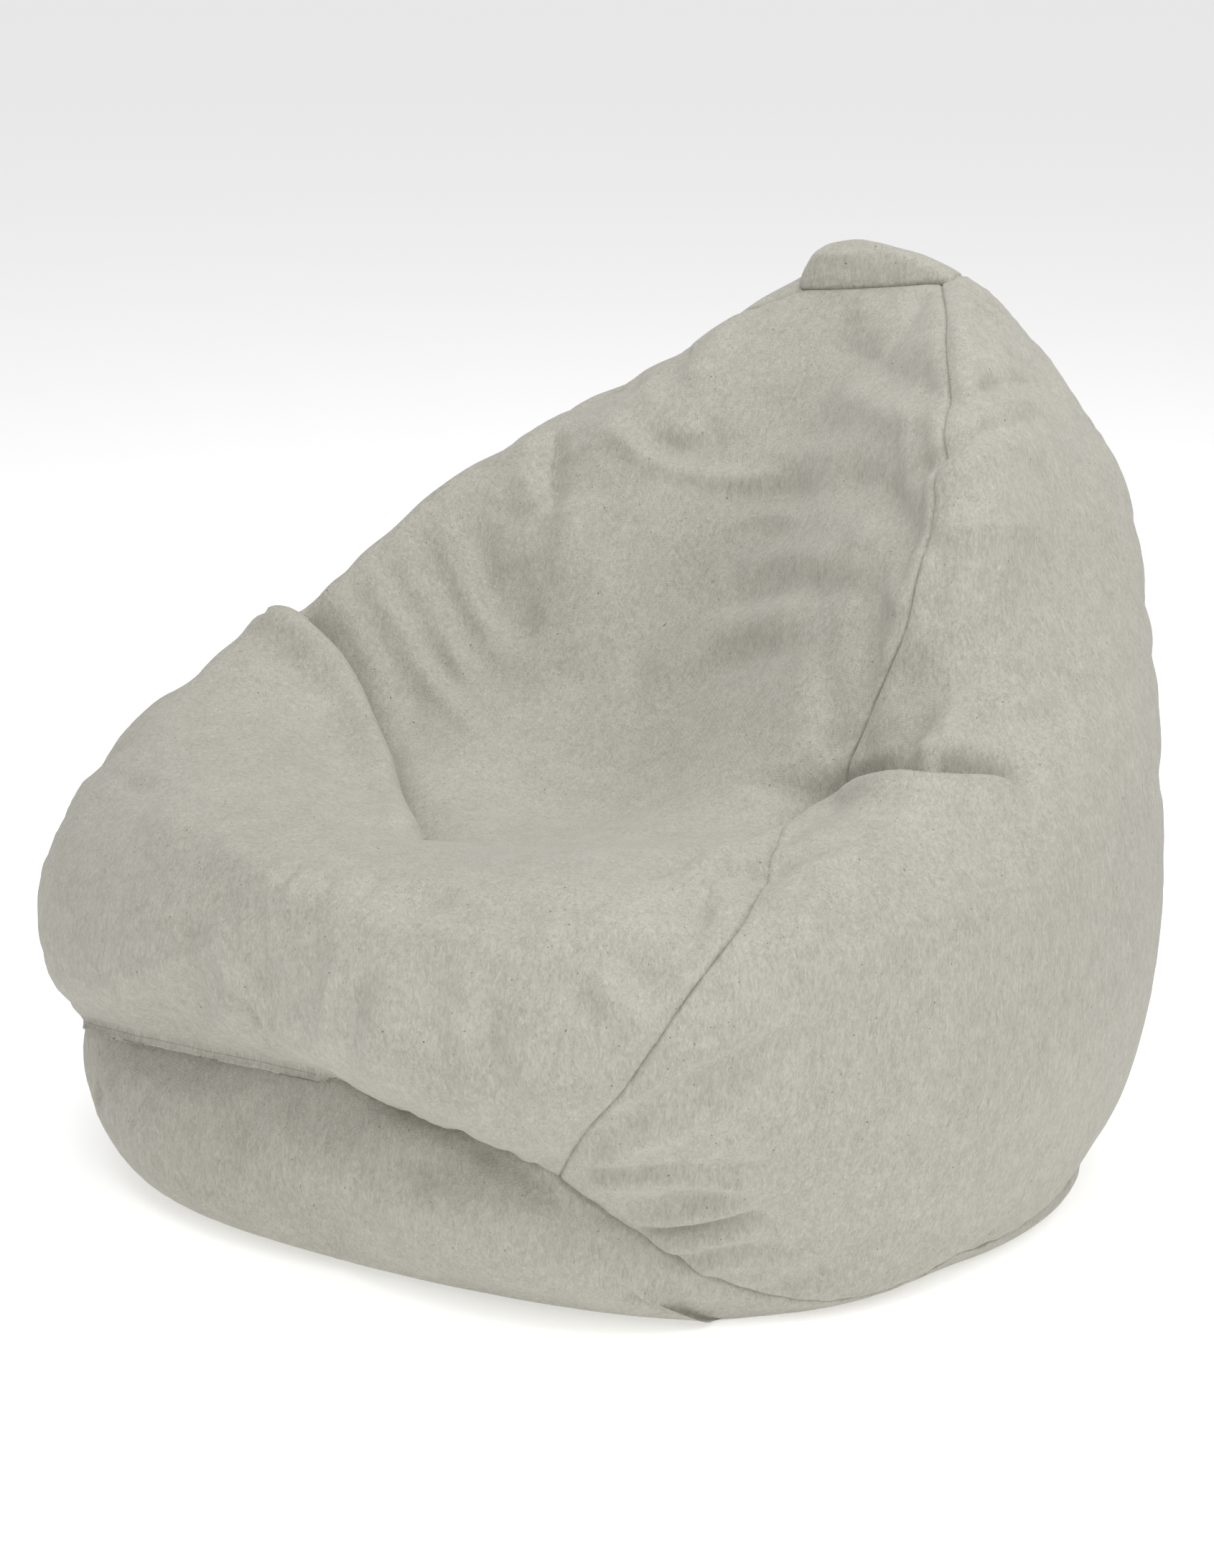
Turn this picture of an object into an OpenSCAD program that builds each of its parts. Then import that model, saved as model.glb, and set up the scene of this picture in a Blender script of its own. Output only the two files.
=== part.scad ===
// Bean bag chair: a sewn cover of four gores, a base panel and a top cap over a bead-filled liner.
// Millimetres, +Z up, the chair faces -Y, origin on the floor under the middle of the bag.
// The bag is shown already sat in: seat hollow, side bolsters and a leaning back.

/* [Overall size] */
// Width across the bolsters
bag_width = 890; // [760:10:1040]
// Depth from the front rim to the back
bag_depth = 900; // [760:10:1040]
// Height to the top cap
bag_height = 790; // [690:10:910]

/* [Cover] */
// Upholstery cloth thickness
cloth = 1.6; // [1.2:0.1:2]
// Gap left between two sewn edges
seam_gap = 0.4; // [0.3:0.1:0.8]
// How far the sewn lines sink below the panels
seam_dip = 5; // [0:1:8]

/* [Liner and fill] */
// Depth of the liner below the cover's face
liner_depth = 6; // [6:1:10]
// How much further in the liner stands behind the zip
zip_room = 11; // [11:1:14]
// Liner cloth thickness
liner_cloth = 0.8; // [0.6:0.1:1]
// Gap between the liner and the beads
bead_gap = 0.8; // [0.5:0.1:1.5]

/* [Zip] */
// Width of the slit that the slider's neck runs in
slit = 4; // [3.4:0.2:4.6]
// Width of each zip tape
tape_width = 10; // [8:1:10]
// Tooth spacing
tooth_pitch = 3; // [2.6:0.2:3.6]
// Length of the puller from its pin
puller_length = 30; // [22:1:34]

/* [Piece to show] */

/* [Hidden] */

// The eight lines up the bag, front centre first and then round by the right.
// Each runs: floor ring, base roll, base wall, base seam, bulge, rim, hollow, back, cap seam.
front = [[0, -265, 0], [0, -320, 18], [0, -345, 100], [0, -330, 190], [0, -385, 250], [0, -412, 312],
    [0, -407, 356], [0, -368, 380], [0, -275, 372], [0, -145, 344], [0, -10, 335], [0, 105, 418],
    [0, 213, 560], [0, 295, 680], [0, 355, 755]];
front_right = [[250, -150, 0], [285, -190, 12], [245, -268, 79], [209, -286, 153], [255, -310, 205],
    [308, -312, 270], [342, -285, 340], [350, -228, 392], [298, -112, 410], [242, 10, 396],
    [245, 60, 465], [262, 95, 560], [240, 155, 672], [150, 280, 748], [78, 368, 770]];
right = [[325, 40, 0], [362, 34, 2], [372, 20, 8], [388, 6, 28], [418, 5, 112], [442, 15, 230],
    [436, 25, 350], [405, 40, 430], [355, 70, 475], [322, 100, 520], [308, 140, 585], [285, 185, 655],
    [228, 262, 712], [152, 335, 752], [84, 388, 774]];
back_right = [[270, 210, 0], [315, 240, 3], [340, 260, 18], [335, 265, 50], [348, 322, 120],
    [345, 358, 240], [325, 383, 360], [300, 403, 460], [270, 420, 545], [238, 430, 612],
    [200, 432, 655], [165, 432, 692], [128, 430, 722], [95, 424, 752], [70, 412, 768]];
back = [[0, 285, 0], [0, 325, 3], [0, 352, 16], [0, 365, 45], [0, 430, 130], [0, 462, 250],
    [0, 478, 380], [0, 480, 480], [0, 478, 570], [0, 472, 635], [0, 468, 682], [0, 464, 714],
    [0, 458, 738], [0, 446, 756], [0, 428, 766]];
back_left = [[-235, 230, 0], [-275, 262, 3], [-310, 280, 18], [-320, 285, 50], [-345, 345, 130],
    [-350, 375, 250], [-335, 395, 370], [-315, 408, 462], [-292, 420, 545], [-265, 428, 602],
    [-232, 432, 640], [-192, 434, 674], [-148, 434, 708], [-110, 428, 738], [-78, 416, 758]];
left = [[-300, 0, 0], [-345, 0, 4], [-380, 0, 22], [-388, 0, 60], [-428, 5, 140], [-448, 10, 240],
    [-443, 15, 350], [-405, 35, 435], [-362, 70, 490], [-330, 115, 534], [-304, 165, 566],
    [-270, 215, 602], [-208, 285, 650], [-145, 335, 708], [-90, 392, 752]];
front_left = [[-235, -250, 0], [-275, -310, 12], [-322, -332, 88], [-315, -340, 150],
    [-335, -360, 208], [-362, -342, 275], [-366, -298, 335], [-350, -228, 382], [-295, -122, 395],
    [-236, -8, 370], [-220, 78, 422], [-208, 140, 508], [-180, 222, 612], [-130, 298, 688],
    [-78, 360, 744]];

// How the low rows move where the right side panel slumps over the base seam, down to the floor
slump = [[-37, -68, 0], [-54, -60, -6], [-34, -22, -40], [12, -6, -52], [-4, 2, -50], [0, 0, -22]];
slump_middle = 67.5;
slump_reach = 27;

// How far the bag's twist carries its two left seams round towards the back, at each row
sweep_front_left = [0, 0, 0, 0, 0, 1, 6, 25, 45, 53, 57, 60, 64, 52, 0];
sweep_back_left = [0, 0, 0, 0, 0, 0, 2, 9, 17, 21, 23, 24, 24, 18, 0];

lines = [front, front_right, right, back_right, back, back_left, left, front_left];

// The table's own size and middle, so that the bag stands centred over the origin
table_size = [891.4, 894.1, 792.1];
table_middle = [-3.4, 33.1, 0];
fit = [bag_width / table_size[0], bag_depth / table_size[1], bag_height / table_size[2]];

// Places in the table
floor_row = 0;
seam_row = 3;
cap_row = 14;
turn = 45;
half_turns = 8;
back_side = 180;
back_left_side = 225;
front_left_side = 315;
full_turn = 360;

// Fine columns round the bag; five more stand close together along the zip
columns = [for (i = [0:28]) i * turn / 4, 317.5, 326.25, 337.5, 348.75, 357.5];
n_col = len(columns);
col_front_right = 4;
col_back_right = 12;
col_back_left = 20;
col_front_left = 28;
col_zip_mid = 31;

// Fine rows up the bag: two to each step of the table, with one inner floor ring below and one
// crown ring above
inner_floor = 0.55;
crown_ring = 0.5;
crown_rise = 24;
crown_top = 8;
crown_lean = [-20, -14, 0];
steps = 2;
j_seam = 1 + steps * (seam_row - floor_row);
j_cap = j_seam + steps * (cap_row - seam_row);
j_crown = j_cap + 1;

function scaled(p) = [for (q = [0:2]) (p[q] - table_middle[q]) * fit[q]];
function knot(k, m) = scaled(lines[(m + half_turns) % half_turns][k]);
function spline(a, b, c, d, t) =
    0.5 * (2 * b + (c - a) * t + (2 * a - 5 * b + 4 * c - d) * t * t + (3 * b - a - 3 * c + d) * t * t * t);
function mix(a, b, t) = a * (1 - t) + b * t;
function unit(v) = v / norm(v);
function above_floor(p) = [p[0], p[1], max(0, p[2])];

// The slump's share at angle u, and its move of a table row
function hump(x) = abs(x) < 1 ? pow(1 - x * x, 2) : 0;
function slumped(k, u) =
    k < len(slump)
        ? [for (q = [0:2]) slump[k][q] * fit[q] * hump((u - slump_middle) / slump_reach)]
        : [0, 0, 0];

// One point on a table row at angle u; the base seam is straight either side of the front
function on_row(k, u) =
    let (i = floor(u / turn), t = u / turn - i)
    (k == seam_row && (i == 0 || i == half_turns - 1)
        ? mix(knot(k, i), knot(k, i + 1), t)
        : spline(knot(k, i - 1), knot(k, i), knot(k, i + 1), knot(k, i + 2), t))
    + slumped(k, u);

// One point between rows, with the curve stopping at both ends of its own zone
function on_bag(u, v, lo, hi) =
    let (k = min(floor(v), hi - 1), t = v - k,
        b = on_row(k, u), c = on_row(k + 1, u),
        a = k == lo ? 2 * b - c : on_row(k - 1, u),
        d = k + 1 == hi ? 2 * c - b : on_row(k + 2, u))
    above_floor(spline(a, b, c, d, t));

// The angle that a column has reached at row v, once the two left seams are swept round
function at_row(list, v) =
    let (k = min(floor(v), cap_row - 1), t = v - k)
    spline(list[max(k - 1, 0)], list[k], list[k + 1], list[min(k + 2, cap_row)], t);
function swept(u, v) =
    let (back = at_row(sweep_back_left, v), front = at_row(sweep_front_left, v))
    u - (u <= back_side ? 0
        : u <= back_left_side ? back * (u - back_side) / (back_left_side - back_side)
        : u <= front_left_side
            ? mix(back, front, (u - back_left_side) / (front_left_side - back_left_side))
        : front * (full_turn - u) / (full_turn - front_left_side));
function on_column(u, v, lo, hi) = on_bag(swept(u, v), v, lo, hi);

function middle(ring) = [for (q = [0:2]) [for (p = ring) p[q]] * [for (p = ring) 1] / len(ring)];

cap_ring = [for (u = columns) on_row(cap_row, u)];
cap_middle = middle(cap_ring);
crown = [for (p = cap_ring) mix(cap_middle, p, crown_ring) + crown_lean + [0, 0, crown_rise]];
apex = cap_middle + crown_lean + [0, 0, crown_rise + crown_top];

plain_rows = concat(
    [[for (u = columns) let (p = on_row(floor_row, u)) [p[0] * inner_floor, p[1] * inner_floor, 0]]],
    [for (s = [0:steps * (seam_row - floor_row) - 1])
        [for (u = columns) on_column(u, floor_row + s / steps, floor_row, seam_row)]],
    [for (s = [0:steps * (cap_row - seam_row) - 1])
        [for (u = columns) on_column(u, seam_row + s / steps, seam_row, cap_row)]],
    [cap_ring, crown]);

function col(i) = (i + n_col) % n_col;
function facing(rows, j, i) =
    j == 0 ? [0, 0, -1]
    : let (along = rows[j][col(i + 1)] - rows[j][col(i - 1)],
        over = j == j_crown ? apex : rows[j + 1][col(i)],
        rise = over - rows[j - 1][col(i)])
    unit(cross(along, rise));

// The four long seams sink a little, which leaves each gore slightly plump
function is_long_seam(i) =
    i == col_front_right || i == col_back_right || i == col_back_left || i == col_front_left;
function dip(j, i) = is_long_seam(i) && j > j_seam && j < j_cap ? seam_dip : 0;
bag = [for (j = [0:j_crown]) [for (i = [0:n_col - 1])
    plain_rows[j][i] - dip(j, i) * facing(plain_rows, j, i)]];
out = [for (j = [0:j_crown]) [for (i = [0:n_col - 1]) facing(bag, j, i)]];

// Behind the zip, everything from the liner inwards stands further back
function behind_zip(j, i) = abs(j - j_seam) < 2 && (col(i) == 0 || col(i) >= col_front_left) ? 1 : 0;
function room(j, i, d) = d < liner_depth ? 0 : zip_room * behind_zip(j, i);
function deep(j, i, d) = bag[j][col(i)] - (d + room(j, i, d)) * out[j][col(i)];
function toward(j, i, j2, i2, d) = unit(deep(j2, i2, d) - deep(j, i, d));

// Half the gap at the base seam: wide along the zip and closed elsewhere
function base_gap(i) = col(i) > col_front_left ? slit / 2 : seam_gap / 2;

// A patch of the bag at depth d, its four edges drawn back by the seam gap
function patch(j0, j1, i0, i1, d, left, right, low, high) =
    [for (j = [j0:j1]) [for (i = [i0:i1])
        deep(j, i, d)
        + (i == i0 ? left * toward(j, i, j, i + 1, d) : [0, 0, 0])
        + (i == i1 ? right * toward(j, i, j, i - 1, d) : [0, 0, 0])
        + (j == j0 ? (low < 0 ? base_gap(i) : low) * toward(j, i, j + 1, i, d) : [0, 0, 0])
        + (j == j1 ? (high < 0 ? base_gap(i) : high) * toward(j, i, j - 1, i, d) : [0, 0, 0])]];

function flat(rows) = [for (r = rows) for (p = r) p];
function split(a, b, c, d) = [[a, b, c], [a, c, d]];
function pairs(list) = [for (two = list) for (f = two) f];

// A sheet with four edges, between an outer and an inner grid of points
module sheet(outer, inner) {
    m = len(outer);
    n = len(outer[0]);
    k = m * n;
    faces = pairs(concat(
        [for (j = [0:m - 2]) for (i = [0:n - 2])
            let (a = j * n + i, b = a + 1, c = b + n, d = a + n) split(a, d, c, b)],
        [for (j = [0:m - 2]) for (i = [0:n - 2])
            let (a = k + j * n + i, b = a + 1, c = b + n, d = a + n) split(c, d, a, b)],
        [for (j = [0:m - 2]) let (a = j * n, d = a + n) split(d, a, k + a, k + d)],
        [for (j = [0:m - 2]) let (b = j * n + n - 1, c = b + n) split(b, c, k + c, k + b)],
        [for (i = [0:n - 2]) split(i, i + 1, k + i + 1, k + i)],
        [for (i = [0:n - 2]) let (e = (m - 1) * n + i) split(e + 1, e, k + e, k + e + 1)]));
    polyhedron(points = concat(flat(outer), flat(inner)), faces = faces);
}

// A sheet that closes round the bag, open above and shut below by a flat middle
module bowl(outer, inner) {
    m = len(outer);
    n = len(outer[0]) - 1;
    w = n + 1;
    k = m * w;
    faces = pairs(concat(
        [for (j = [0:m - 2]) for (i = [0:n - 1])
            let (e = (i + 1) % n, a = j * w + i, b = j * w + e, c = b + w, d = a + w)
            split(a, d, c, b)],
        [for (j = [0:m - 2]) for (i = [0:n - 1])
            let (e = (i + 1) % n, a = k + j * w + i, b = k + j * w + e, c = b + w, d = a + w)
            split(c, d, a, b)],
        [for (i = [0:n - 1])
            let (e = (m - 1) * w, p = e + i, q = e + (i + 1) % n) split(q, p, k + p, k + q)]));
    polyhedron(points = concat(flat(outer), flat(inner)),
        faces = concat(faces, [[for (i = [0:n - 1]) i], [for (i = [0:n - 1]) k + n - 1 - i]]));
}

// A sheet that closes round the bag, open below and shut above by a fan to one point
module lid(outer, inner, top_outer, top_inner) {
    m = len(outer);
    n = len(outer[0]) - 1;
    w = n + 1;
    k = m * w;
    faces = pairs(concat(
        [for (j = [0:m - 2]) for (i = [0:n - 1])
            let (e = (i + 1) % n, a = j * w + i, b = j * w + e, c = b + w, d = a + w)
            split(a, d, c, b)],
        [for (j = [0:m - 2]) for (i = [0:n - 1])
            let (e = (i + 1) % n, a = k + j * w + i, b = k + j * w + e, c = b + w, d = a + w)
            split(c, d, a, b)],
        [for (i = [0:n - 1]) let (e = (i + 1) % n) split(i, e, k + e, k + i)],
        [for (i = [0:n - 1]) let (t = (m - 1) * w, p = t + i, q = t + (i + 1) % n)
            [[q, p, 2 * k], [k + p, k + q, 2 * k + 1]]]));
    polyhedron(points = concat(flat(outer), flat(inner), [top_outer, top_inner]), faces = faces);
}

// A closed body: flat underneath, rings all the way up and a fan on top
module lump(rows, top) {
    m = len(rows);
    n = len(rows[0]);
    faces = pairs(concat(
        [for (j = [0:m - 2]) for (i = [0:n - 1])
            let (e = (i + 1) % n, a = j * n + i, b = j * n + e, c = b + n, d = a + n)
            split(a, d, c, b)]));
    polyhedron(points = concat(flat(rows), [top]),
        faces = concat(faces, [[for (i = [0:n - 1]) i]],
            [for (i = [0:n - 1]) [(m - 1) * n + (i + 1) % n, (m - 1) * n + i, m * n]]));
}

// A flat ribbon along a line of points, given its sideways and inward directions at each
module ribbon(line, side, inward, wide, near, far) {
    m = len(line);
    points = [for (q = [0:m - 1]) for (c = [[-1, near], [1, near], [1, far], [-1, far]])
        line[q] + c[0] * wide / 2 * side[q] + c[1] * inward[q]];
    faces = pairs(concat(
        [for (q = [0:m - 2]) for (c = [0:3])
            let (a = 4 * q + c, b = 4 * q + (c + 1) % 4) split(a, b, b + 4, a + 4)],
        [split(3, 2, 1, 0), split(4 * m - 4, 4 * m - 3, 4 * m - 2, 4 * m - 1)]));
    polyhedron(points = points, faces = faces);
}

// A ribbon that joins up with itself
module ribbon_ring(line, side, inward, wide, near, far) {
    m = len(line);
    points = [for (q = [0:m - 1]) for (c = [[-1, near], [1, near], [1, far], [-1, far]])
        line[q] + c[0] * wide / 2 * side[q] + c[1] * inward[q]];
    faces = pairs([for (q = [0:m - 1]) for (c = [0:3])
        let (e = (q + 1) % m, a = 4 * q + c, b = 4 * q + (c + 1) % 4)
        split(a, b, 4 * e + (c + 1) % 4, 4 * e + c)]);
    polyhedron(points = points, faces = faces);
}

// Colours
cover_colour = [0.66, 0.64, 0.58];
liner_colour = [0.93, 0.93, 0.91];
bead_colour = [0.97, 0.97, 0.97];
thread_colour = [0.60, 0.58, 0.52];
tape_colour = [0.58, 0.56, 0.51];
teeth_colour = [0.52, 0.50, 0.46];
metal_colour = [0.55, 0.54, 0.52];
label_colour = [0.92, 0.91, 0.88];

half_gap = seam_gap / 2;
by_zip = -1;

module gore(i0, i1, low) {
    sheet(patch(j_seam, j_cap, i0, i1, 0, half_gap, half_gap, low, half_gap),
        patch(j_seam, j_cap, i0, i1, cloth, half_gap, half_gap, low, half_gap));
}

module seat_panel() {
    color(cover_colour) gore(col_front_left, n_col + col_front_right, by_zip);
}

module right_side_panel() {
    color(cover_colour) gore(col_front_right, col_back_right, half_gap);
}

module back_panel() {
    color(cover_colour) gore(col_back_right, col_back_left, half_gap);
}

module left_side_panel() {
    color(cover_colour) gore(col_back_left, col_front_left, half_gap);
}

module base_panel() {
    color(cover_colour)
        bowl(patch(0, j_seam, 0, n_col, 0, 0, 0, 0, by_zip),
            patch(0, j_seam, 0, n_col, cloth, 0, 0, 0, by_zip));
}

module top_cap() {
    color(cover_colour)
        lid(patch(j_cap, j_crown, 0, n_col, 0, 0, 0, half_gap, 0),
            patch(j_cap, j_crown, 0, n_col, cloth, 0, 0, half_gap, 0),
            apex, apex - [0, 0, cloth]);
}

// The lockstitched edge inside each seam
thread_wide = 2.8;
thread_near = cloth + 1.2;
thread_far = cloth + 2;
thread_end = 10;

module long_seam_thread(i) {
    rows = [for (j = [j_seam:j_cap]) j];
    line = [for (j = rows) bag[j][i]
        + (j == j_seam ? thread_end * toward(j, i, j + 1, i, 0) : [0, 0, 0])
        + (j == j_cap ? thread_end * toward(j, i, j - 1, i, 0) : [0, 0, 0])];
    side = [for (j = rows) unit(bag[j][col(i + 1)] - bag[j][col(i - 1)])];
    ribbon(line, side, [for (j = rows) -out[j][i]], thread_wide, thread_near, thread_far);
}

module seam_thread_front_right() {
    color(thread_colour) long_seam_thread(col_front_right);
}

module seam_thread_back_right() {
    color(thread_colour) long_seam_thread(col_back_right);
}

module seam_thread_back_left() {
    color(thread_colour) long_seam_thread(col_back_left);
}

module seam_thread_front_left() {
    color(thread_colour) long_seam_thread(col_front_left);
}

function up_side(j, i) = unit(bag[j + 1][col(i)] - bag[j - 1][col(i)]);

module seam_thread_base() {
    line = [for (i = [0:col_front_left]) bag[j_seam][i]
        + (i == 0 ? thread_end * toward(j_seam, 0, j_seam, 1, 0) : [0, 0, 0])
        + (i == col_front_left ? thread_end * toward(j_seam, i, j_seam, i - 1, 0) : [0, 0, 0])];
    color(thread_colour)
        ribbon(line, [for (i = [0:col_front_left]) -up_side(j_seam, i)],
            [for (i = [0:col_front_left]) -out[j_seam][i]], thread_wide, thread_near, thread_far);
}

module seam_thread_cap() {
    color(thread_colour)
        ribbon_ring(bag[j_cap], [for (i = [0:n_col - 1]) -up_side(j_cap, i)],
            [for (i = [0:n_col - 1]) -out[j_cap][i]], thread_wide, thread_near, thread_far);
}

// The zip's own frame: x along the seam from the front centre to the left corner,
// y down across it and z straight out of the bag
zip_start = knot(seam_row, 0);
zip_end = knot(seam_row, half_turns - 1);
zip_x = unit(zip_end - zip_start);
zip_lean = [-0.14, -0.9, -0.35];
zip_z = unit(zip_lean - (zip_lean * zip_x) * zip_x);
zip_y = cross(zip_z, zip_x);
zip_long = norm(zip_end - zip_start);

module at_zip() {
    multmatrix([[zip_x[0], zip_y[0], zip_z[0], zip_start[0]],
        [zip_x[1], zip_y[1], zip_z[1], zip_start[1]],
        [zip_x[2], zip_y[2], zip_z[2], zip_start[2]],
        [0, 0, 0, 1]])
        children();
}

// Along the zip
end_room = 28;
tape_from = end_room;
tape_to = zip_long - end_room;
stop_long = 3;
teeth_from = tape_from + 5;
tooth_count = floor((tape_to - teeth_from - 5) / tooth_pitch);
teeth_to = teeth_from + tooth_count * tooth_pitch;
slider_at = teeth_to - 9;

// Across the zip and through it; the two rows stand apart for the slider's post
centre_gap = 0.7;
tooth_long = 1.2;
cord_wide = 1;
tooth_share = 0.55;
tape_top = -4.4;
tape_thick = 0.6;
teeth_top = tape_top - tape_thick - 0.1;
teeth_thick = 1.9;
plate_clear = 0.2;
plate_thick = 1.2;
plate_wide = 9;
slider_long = 11;
post_wide = 1;
post_long = 8;

module tape() {
    translate([tape_from, centre_gap, tape_top - tape_thick])
        cube([tape_to - tape_from, tape_width, tape_thick]);
}

module teeth(shift) {
    back_edge = centre_gap + tooth_long + cord_wide;
    root = centre_gap + tooth_long;
    tips = [for (t = [0:tooth_count - 1])
        let (x = teeth_from + t * tooth_pitch + shift, w = tooth_share * tooth_pitch)
        each [[x, root], [x, centre_gap], [x + w, centre_gap], [x + w, root]]];
    translate([0, 0, teeth_top - teeth_thick])
        linear_extrude(teeth_thick)
            polygon(concat([[teeth_from - 1, back_edge], [teeth_from - 1, root]], tips,
                [[teeth_to + 1, root], [teeth_to + 1, back_edge]]));
}

module zip_tape_upper() {
    color(tape_colour) at_zip() mirror([0, 1, 0]) tape();
}

module zip_tape_lower() {
    color(tape_colour) at_zip() tape();
}

module zip_teeth_upper() {
    color(teeth_colour) at_zip() mirror([0, 1, 0]) teeth(0);
}

module zip_teeth_lower() {
    color(teeth_colour) at_zip() teeth(tooth_share * tooth_pitch / 2);
}

stop_wide = 2 * (centre_gap + tooth_long + cord_wide);

module zip_stop(x) {
    translate([x, -stop_wide / 2, teeth_top - teeth_thick])
        cube([stop_long, stop_wide, teeth_thick]);
}

module zip_stop_middle() {
    color(metal_colour) at_zip() zip_stop(teeth_from - 1.1 - stop_long);
}

module zip_stop_corner() {
    color(metal_colour) at_zip() zip_stop(teeth_to + 1.1);
}

// Slider: two plates inside the bag, a thin post up through the slit and an eye outside
pin_height = 5;
pin_r = 0.9;
pin_clear = 0.05;
eye_r = 2.6;
eye_wide = 2.4;
arm_gap = 0.3;
arm_wide = 1.1;
arm_r = 2;
tab_wide = 6;
tab_thick = 1.2;
tab_from = 4;
$fn = 48;

module zip_slider() {
    low_top = teeth_top - teeth_thick - plate_clear;
    high_low = tape_top + plate_clear;
    color(metal_colour) at_zip() translate([slider_at, 0, 0])
        difference() {
            union() {
                translate([-slider_long / 2, -plate_wide / 2, low_top - plate_thick])
                    cube([slider_long, plate_wide, plate_thick]);
                translate([-slider_long / 2, -plate_wide / 2, high_low])
                    cube([slider_long, plate_wide, plate_thick]);
                translate([-post_long / 2, -post_wide / 2, low_top - plate_thick])
                    cube([post_long, post_wide, pin_height - low_top + plate_thick]);
                translate([0, -eye_wide / 2, pin_height])
                    rotate([-90, 0, 0]) cylinder(r = eye_r, h = eye_wide);
            }
            translate([0, -eye_wide, pin_height])
                rotate([-90, 0, 0]) cylinder(r = pin_r + pin_clear, h = 2 * eye_wide);
        }
}

// Puller: a pin through the eye, two arms and a flat tab lying back along the seam
module zip_puller() {
    arm_in = eye_wide / 2 + arm_gap;
    color(metal_colour) at_zip() translate([slider_at, 0, pin_height]) {
        translate([0, -arm_in - arm_wide, 0])
            rotate([-90, 0, 0]) cylinder(r = pin_r, h = 2 * (arm_in + arm_wide));
        for (y = [-arm_in - arm_wide, arm_in]) {
            translate([0, y, 0])
                rotate([-90, 0, 0]) cylinder(r = arm_r, h = arm_wide);
            translate([-tab_from - 1, y, -tab_thick / 2])
                cube([tab_from + 1, arm_wide, tab_thick]);
        }
        translate([-puller_length, -tab_wide / 2, -tab_thick / 2])
            cube([puller_length - tab_from, tab_wide, tab_thick]);
    }
}

// Blank care label, sewn inside the base panel below the zip
label_depth = 5;
label_thick = 0.4;
label_side = 24;
label_drop = 6;

module care_label() {
    j = j_seam - 1;
    color(label_colour)
        sheet(patch(j, j_seam, col_zip_mid, col_zip_mid + 1, label_depth,
                label_side, label_side, 0, label_drop + tape_width),
            patch(j, j_seam, col_zip_mid, col_zip_mid + 1, label_depth + label_thick,
                label_side, label_side, 0, label_drop + tape_width));
}

module liner_gore(i0, i1) {
    sheet(patch(j_seam, j_cap, i0, i1, liner_depth, half_gap, half_gap, half_gap, half_gap),
        patch(j_seam, j_cap, i0, i1, liner_depth + liner_cloth, half_gap, half_gap, half_gap,
            half_gap));
}

module liner_seat() {
    color(liner_colour) liner_gore(col_front_left, n_col + col_front_right);
}

module liner_right() {
    color(liner_colour) liner_gore(col_front_right, col_back_right);
}

module liner_back() {
    color(liner_colour) liner_gore(col_back_right, col_back_left);
}

module liner_left() {
    color(liner_colour) liner_gore(col_back_left, col_front_left);
}

module liner_base() {
    color(liner_colour)
        bowl(patch(0, j_seam, 0, n_col, liner_depth, 0, 0, 0, half_gap),
            patch(0, j_seam, 0, n_col, liner_depth + liner_cloth, 0, 0, 0, half_gap));
}

module liner_cap() {
    low = liner_depth + liner_cloth;
    color(liner_colour)
        lid(patch(j_cap, j_crown, 0, n_col, liner_depth, 0, 0, half_gap, 0),
            patch(j_cap, j_crown, 0, n_col, low, 0, 0, half_gap, 0),
            apex - [0, 0, liner_depth], apex - [0, 0, low]);
}

// The loose beads, as the one body they settle into
module bead_fill() {
    d = liner_depth + liner_cloth + bead_gap;
    color(bead_colour)
        lump([for (j = [0:j_crown]) [for (i = [0:n_col - 1]) deep(j, i, d)]], apex - [0, 0, d]);
}

seat_panel();
right_side_panel();
back_panel();
left_side_panel();
base_panel();
top_cap();
seam_thread_front_right();
seam_thread_back_right();
seam_thread_back_left();
seam_thread_front_left();
seam_thread_base();
seam_thread_cap();
zip_tape_upper();
zip_tape_lower();
zip_teeth_upper();
zip_teeth_lower();
zip_slider();
zip_puller();
zip_stop_middle();
zip_stop_corner();
care_label();
liner_seat();
liner_right();
liner_back();
liner_left();
liner_base();
liner_cap();
bead_fill();
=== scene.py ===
import math

import bpy
import numpy as np
from mathutils import Matrix, Vector


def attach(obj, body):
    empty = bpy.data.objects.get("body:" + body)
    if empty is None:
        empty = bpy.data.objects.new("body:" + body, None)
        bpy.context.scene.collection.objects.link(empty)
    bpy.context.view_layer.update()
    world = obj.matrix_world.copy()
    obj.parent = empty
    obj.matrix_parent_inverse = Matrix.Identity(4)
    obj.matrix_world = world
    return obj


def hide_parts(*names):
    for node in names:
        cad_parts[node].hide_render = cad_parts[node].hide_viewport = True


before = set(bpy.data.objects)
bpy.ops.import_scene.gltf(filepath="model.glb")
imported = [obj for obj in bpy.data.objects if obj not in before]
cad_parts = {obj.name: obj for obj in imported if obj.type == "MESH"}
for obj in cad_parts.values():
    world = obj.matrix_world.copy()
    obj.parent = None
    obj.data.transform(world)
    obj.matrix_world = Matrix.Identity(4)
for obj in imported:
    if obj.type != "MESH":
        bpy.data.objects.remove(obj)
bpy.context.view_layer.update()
bpy.ops.object.select_all(action="DESELECT")

MM = 0.001


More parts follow.
